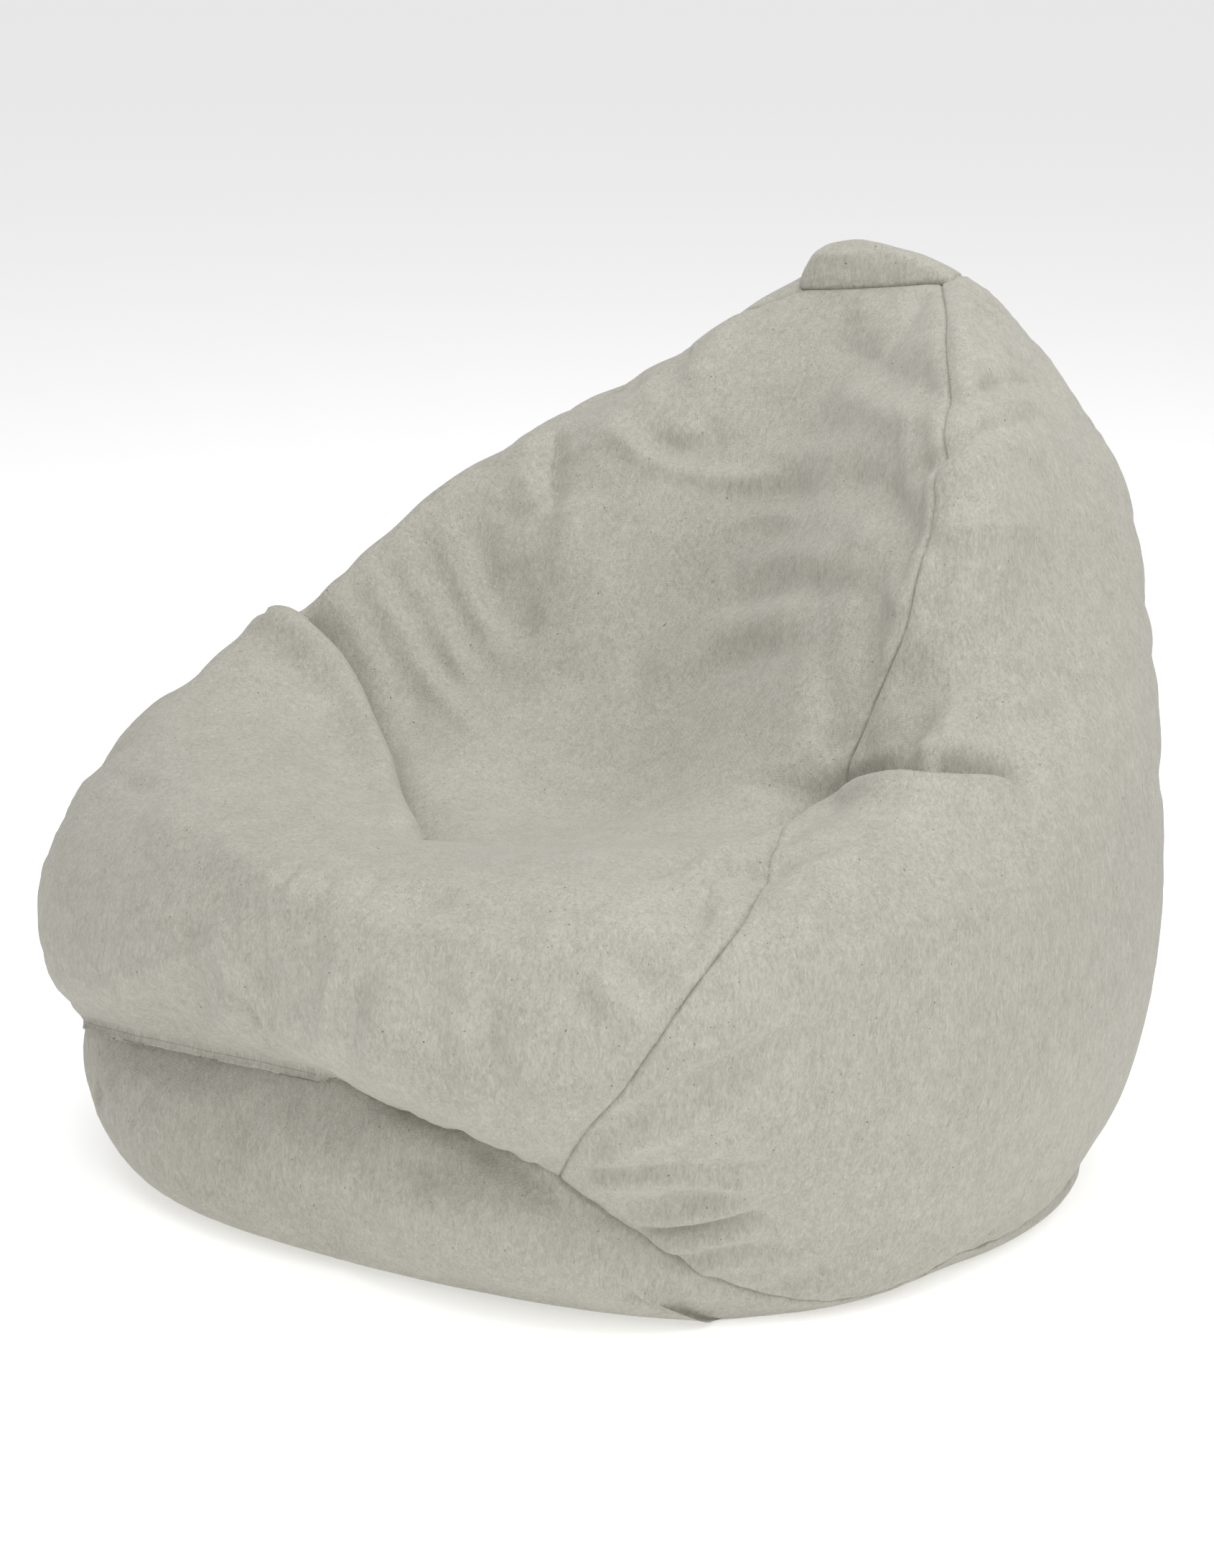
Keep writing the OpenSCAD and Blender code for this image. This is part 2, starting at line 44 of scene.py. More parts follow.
# ---------------------------------------------------------------- camera
def look_from(azimuth, elevation, distance, target, lens):
    """Stands the camera round and above a target, in degrees, metres and millimetres of lens."""
    a, e = math.radians(azimuth), math.radians(elevation)
    back = Vector((math.sin(a) * math.cos(e), -math.cos(a) * math.cos(e), math.sin(e)))
    bpy.ops.object.camera_add(location=Vector(target) + back * distance)
    camera = bpy.context.object
    camera.name = "studio_camera"
    camera.rotation_euler = (-back).to_track_quat("-Z", "Y").to_euler()
    camera.data.lens = lens
    camera.data.clip_start = 0.05
    camera.data.clip_end = 60
    bpy.context.scene.camera = camera


look_from(42, 19.5, 3.0, (0.0102, -0.0342, 0.3646), 78.13)

# ---------------------------------------------------------------- the bag's own lines, as in the part
# Eight lines up the bag, front centre first and then round by the right, in millimetres
LINES = [
    "0,-265,0 0,-320,18 0,-345,100 0,-330,190 0,-385,250 0,-412,312 0,-407,356 0,-368,380 0,-275,372 "
    "0,-145,344 0,-10,335 0,105,418 0,213,560 0,295,680 0,355,755",  # front
    "250,-150,0 285,-190,12 245,-268,79 209,-286,153 255,-310,205 308,-312,270 342,-285,340 350,-228,392 "
    "298,-112,410 242,10,396 245,60,465 262,95,560 240,155,672 150,280,748 78,368,770",  # front right
    "325,40,0 362,34,2 372,20,8 388,6,28 418,5,112 442,15,230 436,25,350 405,40,430 355,70,475 "
    "322,100,520 308,140,585 285,185,655 228,262,712 152,335,752 84,388,774",  # right
    "270,210,0 315,240,3 340,260,18 335,265,50 348,322,120 345,358,240 325,383,360 300,403,460 "
    "270,420,545 238,430,612 200,432,655 165,432,692 128,430,722 95,424,752 70,412,768",  # back right
    "0,285,0 0,325,3 0,352,16 0,365,45 0,430,130 0,462,250 0,478,380 0,480,480 0,478,570 0,472,635 "
    "0,468,682 0,464,714 0,458,738 0,446,756 0,428,766",  # back
    "-235,230,0 -275,262,3 -310,280,18 -320,285,50 -345,345,130 -350,375,250 -335,395,370 -315,408,462 "
    "-292,420,545 -265,428,602 -232,432,640 -192,434,674 -148,434,708 -110,428,738 -78,416,758",  # back left
    "-300,0,0 -345,0,4 -380,0,22 -388,0,60 -428,5,140 -448,10,240 -443,15,350 -405,35,435 -362,70,490 "
    "-330,115,534 -304,165,566 -270,215,602 -208,285,650 -145,335,708 -90,392,752",  # left
    "-235,-250,0 -275,-310,12 -322,-332,88 -315,-340,150 -335,-360,208 -362,-342,275 -366,-298,335 "
    "-350,-228,382 -295,-122,395 -236,-8,370 -220,78,422 -208,140,508 -180,222,612 -130,298,688 "
    "-78,360,744",  # front left
]
TABLE = np.array([[[float(c) for c in p.split(",")] for p in line.split()] for line in LINES])
DRAWN_MIDDLE = np.array([-3.4, 33.1, 0])
DRAWN_SIZE = np.array([891.4, 894.1, 792.1])
BAG_SIZE = np.array([890, 900, 790])
KNOTS = (TABLE - DRAWN_MIDDLE) * (BAG_SIZE / DRAWN_SIZE)
FLOOR_ROW, SEAM_ROW, CAP_ROW = 0, 3, 14
# How far the bag's twist carries its two left seams round towards the back, at each row
SWEEP_FRONT_LEFT = [0, 0, 0, 0, 0, 1, 6, 25, 45, 53, 57, 60, 64, 52, 0]
SWEEP_BACK_LEFT = [0, 0, 0, 0, 0, 0, 2, 9, 17, 21, 23, 24, 24, 18, 0]
# How the low rows move where the right side panel slumps over the base seam, and where round the bag
SLUMP = np.array([(-37, -68, 0), (-54, -60, -6), (-34, -22, -40), (12, -6, -52), (-4, 2, -50), (0, 0, -22)])
SLUMP_MIDDLE, SLUMP_REACH = 67.5, 27


def spline(a, b, c, d, t):
    """A smooth curve from b to c, with a before them and d after."""
    return 0.5 * (2 * b + (c - a) * t + (2 * a - 5 * b + 4 * c - d) * t * t
                  + (3 * b - a - 3 * c + d) * t ** 3)


def on_row(k, u):
    """A point of row k at angle u: curved, but straight along the zip."""
    s = (u % 360) / 45
    i = np.floor(s).astype(int)
    t = (s - i)[..., None]
    curve = spline(KNOTS[(i - 1) % 8, k], KNOTS[i % 8, k], KNOTS[(i + 1) % 8, k], KNOTS[(i + 2) % 8, k], t)
    straight = KNOTS[i % 8, k] * (1 - t) + KNOTS[(i + 1) % 8, k] * t
    at_front = (k == SEAM_ROW) & ((i % 8 == 0) | (i % 8 == 7))
    hump = np.maximum(1 - ((u % 360 - SLUMP_MIDDLE) / SLUMP_REACH) ** 2, 0) ** 2
    move = SLUMP[np.minimum(k, len(SLUMP) - 1)] * (np.asarray(k) < len(SLUMP))[..., None]
    return np.where(at_front[..., None], straight, curve) + hump[..., None] * move


def on_bag(u, v, low, high):
    """A point between the rows, with its curve ending at rows low and high."""
    k = np.minimum(np.floor(v).astype(int), high - 1)
    t = (v - k)[..., None]
    b, c = on_row(k, u), on_row(k + 1, u)
    a = np.where((k == low)[..., None], 2 * b - c, on_row(np.maximum(k - 1, 0), u))
    d = np.where((k + 1 == high)[..., None], 2 * c - b, on_row(np.minimum(k + 2, CAP_ROW), u))
    p = spline(a, b, c, d, t)
    p[..., 2] = np.maximum(p[..., 2], 0)
    return p


def at_row(sweep, v):
    k = min(int(v), CAP_ROW - 1)
    return spline(sweep[max(k - 1, 0)], sweep[k], sweep[k + 1], sweep[min(k + 2, CAP_ROW)], v - k)


def swept(u, v):
    """The angle that each column has reached at row v, once the two left seams are swept round."""
    back, front = at_row(SWEEP_BACK_LEFT, v), at_row(SWEEP_FRONT_LEFT, v)
    return u - np.interp(u, [180, 225, 315, 360], [0, back, front, 0])


def unit(v):
    return v / np.maximum(np.linalg.norm(v, axis=-1, keepdims=True), 1e-9)


def ease(x):
    """From 0 to 1, slow at both ends."""
    x = np.clip(x, 0, 1)
    return x * x * (3 - 2 * x)


# ---------------------------------------------------------------- whole cover, as one closed grid
AROUND = 288
PER_ROW = 11
PER_LOW_ROW = 8
turns = np.arange(AROUND) * 360 / AROUND
floor_in = [0.12, 0.3, 0.5, 0.7, 0.86]
base_v = np.linspace(FLOOR_ROW, SEAM_ROW, PER_LOW_ROW * SEAM_ROW + 1)[:-1]
gore_v = np.linspace(SEAM_ROW, CAP_ROW, PER_ROW * (CAP_ROW - SEAM_ROW) + 1)
cap_in = [(0.85, 9), (0.68, 18), (0.5, 24), (0.32, 28), (0.14, 31)]
crown_lean = np.array([-20, -14, 0])

ring = on_bag(turns, np.full(AROUND, float(FLOOR_ROW)), FLOOR_ROW, SEAM_ROW)
grid_rows = [ring * (f, f, 0) for f in floor_in]
grid_rows += [on_bag(swept(turns, v), np.full(AROUND, v), FLOOR_ROW, SEAM_ROW) for v in base_v]
SEAM_LINE = len(grid_rows)
grid_rows += [on_bag(swept(turns, v), np.full(AROUND, v), SEAM_ROW, CAP_ROW) for v in gore_v]
CAP_LINE = len(grid_rows) - 1
cap_ring = grid_rows[-1]
cap_middle = cap_ring.mean(axis=0)
grid_rows += [cap_middle + (cap_ring - cap_middle) * f + crown_lean * min(1, (1 - f) * 2) + (0, 0, rise)
              for f, rise in cap_in]
smooth_bag = np.array(grid_rows)
LAST = len(smooth_bag) - 1


def facing(grid):
    """Outward directions of a grid that closes round the bag."""
    along = np.roll(grid, -1, axis=1) - np.roll(grid, 1, axis=1)
    rise = np.empty_like(grid)
    rise[1:-1] = grid[2:] - grid[:-2]
    rise[0] = grid[1] - grid[0]
    rise[-1] = grid[-1] - grid[-2]
    n = unit(np.cross(along, rise))
    n[:3] = (0, 0, -1)
    return n


smooth_out = facing(smooth_bag)

# ---------------------------------------------------------------- meshes
def new_piece(name, points, faces):
    """A smooth mesh of points in millimetres, placed where the points are."""
    mesh = bpy.data.meshes.new(name)
    mesh.from_pydata((points * MM).tolist(), [], faces)
    mesh.validate()
    mesh.update()
    piece = bpy.data.objects.new(name, mesh)
    bpy.context.collection.objects.link(piece)
    mesh.polygons.foreach_set("use_smooth", [True] * len(mesh.polygons))
    return piece


def grid_faces(m, n, closed=False):
    """Four-sided faces of m rows of n points, joined round where closed."""
    j, i = np.meshgrid(np.arange(m - 1), np.arange(n if closed else n - 1), indexing="ij")
    e = (i + 1) % n
    return np.stack([j * n + i, j * n + e, (j + 1) * n + e, (j + 1) * n + i], axis=-1).reshape(-1, 4).tolist()


# ---------------------------------------------------------------- folds
# Each fold is a kind, a half width, a height (below zero sinks in) and the points it runs through
FOLDS = [
    # the deep fold between the seat and its left arm
    ("crease", 14, -46, "-384,-52,450 -366,-50,452 -341,-56,445 -294,-55,407 -246,-75,372 -165,-129,350 "
                        "-57,-207,349 -10,-250,357"),
    ("valley", 7, -4, "-361,-25,464 -302,-37,421 -249,-57,374 -184,-92,351"),
    ("ridge", 16, 7, "-353,-28,464 -287,-36,408 -209,-78,357 -96,-150,342"),
    ("ridge", 17, 13, "-405,-80,425 -378,-84,441 -307,-86,410 -243,-110,372 -140,-176,353"),
    # the deep fold between the seat and its right arm
    ("crease", 13, -44, "262,-262,396 270,-200,399 262,-130,400 240,-37,390 259,-7,408 337,-33,447 "
                        "371,-3,456 391,31,448 406,56,427"),
    ("ridge", 14, 9, "220,-12,403 252,12,427 319,1,457 361,21,468 388,63,452"),
    ("ridge", 7, 6, "399,40,440 409,59,422"),
    ("valley", 8, -7, "306,-258,396 320,-204,404 358,-149,417"),
    ("ridge", 9, 5, "304,-238,399 314,-171,408 334,-113,421"),
    ("ridge", 9, 5, "344,-183,409 365,-153,416 378,-134,421"),
    ("ridge", 9, 6, "275,-289,391 272,-250,396 258,-188,399"),
    ("valley", 8, -3, "128,-120,359 157,-85,366"),
    # the rim of the seat
    ("ridge", 22, 9, "-221,-359,372 -140,-393,373 -28,-413,376 68,-415,375 158,-397,373 222,-372,373 "
                     "248,-345,381 274,-319,386 316,-301,385 341,-291,382"),
    ("valley", 14, -5, "-168,-381,373 -10,-439,360 66,-431,364 116,-417,367"),
    ("valley", 18, -4, "187,-373,379 225,-339,385 259,-302,390"),
    # the front wall
    ("valley", 13, -5.6, "-99,-441,344 -75,-447,295 -98,-419,228"),
    ("ridge", 13, 4, "-52,-444,350 -34,-447,299 -58,-423,241"),
    ("valley", 9, -5.6, "-7,-450,332 -1,-443,293 -48,-414,232"),
    ("ridge", 10, 3.2, "26,-447,344 26,-442,293 -10,-413,238"),
    ("valley", 10, -5.6, "65,-437,355 57,-444,310"),
    ("ridge", 9, 4.8, "86,-428,363 79,-443,323 72,-423,258"),
    ("valley", 9, -7.2, "106,-428,357 103,-435,293 58,-395,222"),
    ("ridge", 16, 4.8, "125,-419,363 129,-433,300 93,-392,219"),
    ("valley", 17, -4.8, "162,-412,357 180,-420,297 173,-397,231"),
    ("ridge", 15, 4, "193,-402,356 201,-414,301 204,-384,222"),
    ("valley", 17, -6.4, "212,-392,358 222,-405,291 210,-357,194"),
    ("ridge", 16, 5.6, "238,-390,345 248,-392,280 242,-354,203"),
    ("valley", 13, -5.6, "254,-361,371 286,-367,335 327,-340,297"),
    ("ridge", 12, 5.6, "274,-354,367 311,-351,333 341,-327,314"),
    ("valley", 12, -6.4, "287,-333,378 322,-335,351 341,-324,337"),
    ("ridge", 10, 4.8, "338,-330,314 357,-306,295"),
    ("ridge", 10, 3.2, "338,-235,399 373,-218,400 395,-220,390"),
    # gathers that fan out from the corner by the slump
    ("valley", 15, -8.1, "250,-338,184 314,-335,246 359,-301,282 400,-234,306 428,-146,292"),
    ("ridge", 13, 6.3, "257,-332,180 311,-321,217 353,-294,245 384,-253,257"),
    ("ridge", 14, 4.5, "286,-351,237 334,-329,279 368,-293,311 396,-245,327"),
    ("valley", 9, -4.5, "350,-311,349 372,-288,336"),
    ("valley", 9, -4.5, "360,-248,394 386,-256,368"),
    ("ridge", 10, 7.2, "236,-320,153 291,-308,170 329,-274,169 379,-203,165"),
    ("valley", 8, -6.3, "237,-330,167 300,-309,184 348,-266,188 387,-203,183"),
    ("valley", 9, -5.4, "249,-305,136 314,-275,146 355,-234,153"),
    ("crease", 7, -14, "258,-283,101 315,-257,119 354,-227,142"),
    ("ridge", 10, 6.3, "268,-272,86 316,-247,103 355,-213,124"),
    ("valley", 8, -5.4, "347,-235,141 353,-205,107"),
    ("valley", 7, -4.5, "273,-265,71 311,-242,87 349,-205,97"),
    ("ridge", 9, 5.4, "280,-255,61 317,-227,70 357,-184,83"),
    # the base panel
    ("valley", 10, -5, "155,-343,140 115,-358,134 60,-369,134"),
    ("ridge", 16, 4, "19,-366,172 75,-355,164 123,-348,151"),
    ("valley", 14, -4, "114,-356,184 164,-333,156 222,-319,126 266,-279,103"),
    ("crease", 8, -9, "-306,-375,139 -291,-384,111 -274,-390,88"),
    ("ridge", 12, 4, "-276,-381,132 -190,-389,133 -100,-386,134"),
    # the front of the back
    ("valley", 26, -7, "-58,56,401 -62,91,438 -53,127,480 -23,152,513"),
    ("ridge", 24, 9, "-26,61,403 -8,95,441 45,111,481 144,90,524"),
    ("valley", 14, -5, "-5,54,398 22,83,435 91,83,472 166,63,497"),
    ("valley", 14, -7, "6,129,487 96,115,525 196,81,552"),
    ("ridge", 15, 5, "-9,153,515 76,140,546 169,102,568"),
    ("valley", 16, -4, "-167,18,388 -118,53,412 -68,69,416"),
    ("ridge", 22, 6, "-173,24,395 -128,58,420 -124,104,473 -146,134,524"),
    ("valley", 12, -6, "-50,188,564 -1,199,582 80,173,599"),
    ("ridge", 12, 4, "-48,175,546 13,183,565 92,154,581"),
    ("valley", 22, -12, "86,183,618 180,128,626 230,90,604 226,76,567"),
    ("ridge", 18, 6, "156,128,602 196,98,587 178,90,555"),
    ("ridge", 15, 6, "258,85,610 259,72,578 246,59,543"),
    ("valley", 11, -9, "196,126,639 245,127,675 263,167,690 237,298,671"),
    ("ridge", 14, 6, "231,108,639 268,119,668 269,205,669"),
    ("ridge", 20, 5, "-61,212,601 24,213,615 145,164,645"),
    ("valley", 12, -9, "-155,205,624 -131,196,604 -101,202,599 -84,216,613 -99,225,631"),
    ("ridge", 11, 8, "-216,200,616 -162,186,603 -124,189,591 -51,202,583 29,202,602"),
    ("ridge", 9, 5, "-129,208,620 -110,212,617 -112,220,630"),
    ("valley", 18, -8, "-29,300,720 42,270,704 154,206,708 231,172,711 247,222,695"),
    ("ridge", 16, 5, "32,248,670 139,192,679 221,152,692"),
    ("valley", 16, -7, "71,329,764 85,282,739 69,265,714"),
    ("ridge", 12, 4, "18,323,753 19,299,727"),
    ("ridge", 12, 5, "159,261,753 198,216,734"),
    ("valley", 10, -9, "232,176,713 227,236,712 210,325,691"),
    ("ridge", 6, 5, "141,295,761 163,319,740"),
    ("valley", 7, -6, "113,342,764 143,365,735"),
    ("valley", 9, -6, "193,276,731 199,337,696"),
    # the right side
    ("ridge", 9, 8, "276,86,613 303,126,617 293,205,603"),
    ("valley", 8, -7, "288,84,608 305,147,593 308,210,563"),
    ("valley", 10, -8, "291,241,593 298,279,570 305,315,543"),
    ("ridge", 9, 5, "285,259,601 293,311,570"),
    ("valley", 14, -5, "272,143,678 279,191,656 276,239,628"),
    ("ridge", 12, 4, "335,43,495 353,87,487 363,138,478"),
    ("valley", 12, -4, "323,47,507 348,106,495 354,156,489"),
    ("valley", 10, -4, "353,231,482 364,248,451"),
    # the left side
    ("ridge", 6, 4, "-384,-73,438 -355,-85,435 -322,-80,421"),
    ("valley", 6, -4, "-387,-97,429 -348,-107,424 -311,-106,408"),
    ("ridge", 7, 5, "-389,-121,420 -324,-129,408 -260,-122,382"),
    ("valley", 7, -5, "-392,-133,415 -324,-149,404 -239,-150,377"),
    ("ridge", 8, 4, "-366,-187,400 -278,-202,389 -207,-210,377"),
    ("valley", 8, -5, "-382,-197,395 -299,-222,389 -203,-243,379"),
    ("valley", 8, -5, "-370,-267,373 -271,-304,379 -192,-318,379"),
    ("ridge", 8, 4, "-315,-300,375 -210,-331,378 -137,-331,378"),
    ("valley", 7, -4, "-362,-303,357 -303,-324,369 -258,-339,373"),
    # puckers beside the left seam, high up
    ("crease", 13, -18, "-250,187,604 -239,161,580 -203,128,534"),
    ("ridge", 8, 8, "-248,144,565 -224,127,536"),
    ("valley", 3, -3, "-289,127,559 -254,134,555 -227,141,555"),
    ("valley", 8, -6, "-291,112,545 -260,117,536 -228,117,524"),
    ("ridge", 9, 6, "-281,117,546 -248,119,533"),
    ("valley", 17, -9, "-299,103,540 -262,89,496 -198,67,446 -148,62,430"),
    ("ridge", 12, 7, "-309,89,535 -282,74,495 -228,61,441 -167,40,408"),
    ("valley", 11, -7, "-330,79,529 -296,55,489 -261,51,449 -204,35,409"),
    ("ridge", 10, 5, "-330,58,516 -303,40,483 -263,36,436 -196,16,392"),
    ("valley", 9, -6, "-345,44,502 -313,23,477 -273,19,430 -205,4,385"),
    ("ridge", 11, 6, "-345,23,492 -314,8,464 -258,4,405 -145,-27,359"),
    ("valley", 9, -5, "-349,3,480 -329,-9,465 -285,-11,419 -214,-31,368"),
    ("valley", 16, -7, "-227,101,500 -192,80,464 -163,58,428"),
    ("ridge", 15, 8, "-200,152,565 -177,123,521 -164,93,475"),
    ("valley", 16, -8, "-181,225,645 -233,259,639 -238,237,630 -235,216,622"),
    ("ridge", 9, 5, "-180,189,609 -207,173,591 -229,163,582"),
    ("valley", 14, -8, "-153,269,685 -165,256,673 -161,237,658"),
    ("ridge", 14, 6, "-125,293,708 -130,258,678 -129,234,652"),
]


def through(points, per=6):
    """A smooth line through a few points."""
    p = np.vstack([2 * points[0] - points[1], points, 2 * points[-1] - points[-2]])
    t = (np.arange(per) / per)[:, None]
    parts = [spline(p[i - 1], p[i], p[i + 1], p[i + 2], t) for i in range(1, len(p) - 2)]
    return np.vstack(parts + [points[-1:]])


def crease_shape(x):
    """A deep crease at x half widths from its bottom: a rolled lip on one side, a slow slope on the other."""
    lip = np.exp(-(np.abs(x) / 0.75) ** 1.4) - 0.3 * np.exp(-((x - 1.9) / 1.2) ** 2)
    return np.where(x > 0, lip, np.exp(-(np.abs(x) / 1.6) ** 1.15))


def folded(points, out):
    """How far each point moves as the cover folds."""
    flat, normal = points.reshape(-1, 3), out.reshape(-1, 3)
    move = np.zeros_like(flat)
    for kind, width, height, line in FOLDS:
        path = through(np.array([[float(c) for c in p.split(",")] for p in line.split()]))
        reach = 6 * width if kind == "crease" else 2.6 * width
        near = np.all((flat > path.min(axis=0) - reach) & (flat < path.max(axis=0) + reach), axis=1)
        index = np.nonzero(near)[0]
        if not len(index):
            continue
        p = flat[index][:, None]
        a, ab = path[:-1], np.diff(path, axis=0)
        long = np.maximum((ab ** 2).sum(axis=1), 1e-9)
        t = np.clip(((p - a) * ab).sum(axis=2) / long, 0, 1)
        foot = a + t[..., None] * ab
        gap = np.linalg.norm(p - foot, axis=2)
        best = gap.argmin(axis=1)
        rows = np.arange(len(index))
        run = np.concatenate([[0], np.cumsum(np.sqrt(long))])
        at = run[best] + t[rows, best] * np.sqrt(long[best])
        end = ease(0.12 + np.minimum(at, run[-1] - at) / np.clip(run[-1] * 0.3, 12, 55))
        x = gap[rows, best] / width
        n = normal[index]
        if kind == "crease":
            side = unit(np.cross(n, unit(ab)[best]))
            side = side if side[:, 1].mean() < 0 else -side
            x = x * np.sign(((flat[index] - foot[rows, best]) * side).sum(axis=1) + 1e-6)
            lean = 0.26 * height * np.maximum(x, 0) * np.exp(1 - np.maximum(x, 0))
            move[index] += side * (lean * end)[:, None]
            rise = crease_shape(x)
        else:
            rise = np.exp(-(x * 0.9) ** 1.7) if kind == "valley" else np.exp(-x * x)
        move[index] += n * (height * rise * end)[:, None]
    return move.reshape(points.shape)


# The zip's own line, as in the part: x towards the left corner and z outwards
zip_from, zip_to = KNOTS[0, SEAM_ROW], KNOTS[7, SEAM_ROW]
zip_x = unit(zip_to - zip_from)
zip_lean = np.array([-0.14, -0.9, -0.35])
zip_z = unit(zip_lean - (zip_lean @ zip_x) * zip_x)
zip_long = float(np.linalg.norm(zip_to - zip_from))


def from_zip(points):
    """Distance from the zip's line, in millimetres."""
    q = points - zip_from
    s = np.clip(q @ zip_x, 0, zip_long)
    return np.linalg.norm(q - s[..., None] * zip_x, axis=-1)


def kept_off(points):
    """Nothing moves at the zip or where the bag meets the floor."""
    return ease((from_zip(points) - 12) / 45) * ease((points[..., 2] - 4) / 40)


# ---------------------------------------------------------------- the cover swells between its seams
LONGEST_MOVE = 11.0
SWELL_FRAMES = 22


def from_seams(grid):
    """Distance round the bag from the nearest long seam, with the last centimetre held level."""
    step = np.linalg.norm(np.roll(grid, -1, axis=1) - grid, axis=-1)
    run = np.concatenate([np.zeros((len(grid), 1)), np.cumsum(step, axis=1)], axis=1)
    whole, run = run[:, -1:], run[:, :-1]
    gaps = []
    for column in (AROUND * k // 8 for k in (1, 3, 5, 7)):
        away = np.abs(run - run[:, column:column + 1])
        gaps.append(np.minimum(away, whole - away))
    return np.min(gaps, axis=0) + 5


def swell(grid):
    """Blender's cloth with pressure inside, held at the seams, the zip and the floor."""
    m, n = grid.shape[:2]
    piece = new_piece("swelling_cover", grid.reshape(-1, 3), grid_faces(m, n, closed=True))
    seam = np.zeros((m, n), bool)
    seam[:, [AROUND * k // 8 for k in (1, 3, 5, 7)]] = True
    seam[[SEAM_LINE, CAP_LINE]] = True
    seam |= (from_zip(grid) < 30) | (grid[..., 2] < 3)
    seam[CAP_LINE:] = True
    held = piece.vertex_groups.new(name="held")
    held.add(np.nonzero(seam.ravel())[0].tolist(), 1.0, "REPLACE")
    cloth = piece.modifiers.new("Cloth", "CLOTH")
    s = cloth.settings
    s.vertex_group_mass = "held"
    s.quality = 4
    s.mass = 0.35
    s.tension_stiffness = s.compression_stiffness = 14
    s.shear_stiffness = 4
    s.bending_stiffness = 2.0
    s.use_pressure = True
    s.uniform_pressure_force = 2.5
    s.shrink_min = -0.016
    s.effector_weights.gravity = 0
    cloth.collision_settings.use_collision = False
    cloth.point_cache.frame_end = SWELL_FRAMES
    scene = bpy.context.scene
    for f in range(1, SWELL_FRAMES + 1):
        scene.frame_set(f)
    bpy.ops.object.select_all(action="DESELECT")
    bpy.context.view_layer.objects.active = piece
    piece.select_set(True)
    bpy.ops.object.modifier_apply(modifier="Cloth")
    flat = np.empty(m * n * 3)
    piece.data.vertices.foreach_get("co", flat)
    bpy.data.objects.remove(piece, do_unlink=True)
    scene.frame_set(1)
    move = flat.reshape(m, n, 3) / MM - grid
    length = np.linalg.norm(move, axis=-1, keepdims=True)
    move = move * LONGEST_MOVE * np.tanh(length / LONGEST_MOVE) / np.maximum(length, 1e-6)
    below_cap = ease((CAP_LINE - np.arange(m)) / 48)[:, None]
    swollen = grid + move * (kept_off(grid) * ease(from_seams(grid) / 34) * below_cap)[..., None]
    swollen[..., 2] = np.maximum(swollen[..., 2], 0)
    return swollen


cover = swell(smooth_bag)
folded_cover = cover + folded(cover, smooth_out) * kept_off(cover)[..., None]


# ---------------------------------------------------------------- reading the cover at any place
def read_between(grid, u, line, low, high):
    """Reads a grid at angle u and between its lines, with no bend carried past lines low and high."""
    x = (u % 360) / 360 * AROUND
    i = np.floor(x).astype(int)
    tx = (x - i)[..., None]
    j = np.clip(np.floor(line).astype(int), low, high - 1)
    ty = (line - j)[..., None]

    def across(k):
        return spline(grid[k, (i - 1) % AROUND], grid[k, i % AROUND], grid[k, (i + 1) % AROUND],
                      grid[k, (i + 2) % AROUND], tx)

    b, c = across(j), across(j + 1)
    a = np.where((j == low)[..., None], 2 * b - c, across(np.maximum(j - 1, low)))
    d = np.where((j + 1 == high)[..., None], 2 * c - b, across(np.minimum(j + 2, high)))
    return spline(a, b, c, d, ty)


# ---------------------------------------------------------------- sewn edges
EDGE_STEPS = [0, 0.7, 1.6, 3.0, 5.0, 8.0, 12.0]


def spaced(length, step, first=True, last=True):
    """Places along a length: close together at a sewn end and even between."""
    lead = EDGE_STEPS if first else [0]
    tail = EDGE_STEPS if last else [0]
    inner = length - lead[-1] - tail[-1]
    count = max(2, int(round(inner / step)))
    middle = lead[-1] + inner * np.arange(1, count) / count
    return np.concatenate([lead, middle, length - np.array(tail[::-1])])


def seam_sink(d):
    """A sewn edge rolls down into its seam."""
    return -2.4 * np.exp(-(d / 1.5) ** 2) - 2.2 * np.exp(-(d / 8.0) ** 1.5)


def ripple(s, seed):
    """Uneven small gathers along a seam."""
    return (np.sin(s / 6.1 + seed) * np.sin(s / 23.0 + 2.3 * seed) + 0.6 * np.sin(s / 3.7 + 1.7 * seed)
            * np.sin(s / 41.0 + seed))


def gather(s, d, seed, height=1.1):
    """Gathers fade out about two centimetres from the stitching."""
    return height * ripple(s, seed) * np.exp(-d / 13.0) * (1 - np.exp(-(d / 2.5) ** 2))


def run_along(points, axis):
    """Distance along a grid's own lines, in millimetres."""
    step = np.linalg.norm(np.diff(points, axis=axis), axis=-1)
    pad = [(0, 0), (0, 0)]
    pad[axis] = (1, 0)
    return np.cumsum(np.pad(step, pad), axis=axis)


def zip_lip(points, d):
    """The folded lip over the zip hangs clear of the panel, down to the slit."""
    q = points - zip_from
    s = q @ zip_x
    along = ease((s + 2) / 10) * ease((zip_long - 1 - s) / 12)
    wave = 0.9 * np.sin(s / 17.0) + 0.6 * np.sin(s / 7.3 + 1.0)
    hang = (9.0 + wave) * (1 - ease(d / 17.5))
    ridge = 1.9 * ease((16.5 - d) / 1.6) * ease(d / 6)
    above = -1.6 * np.exp(-((d - 18.5) / 3.0) ** 2)
    stitch = -1.3 * np.exp(-((d - 12.2) / 1.1) ** 2)
    return along * (hang + ridge + above + stitch), along


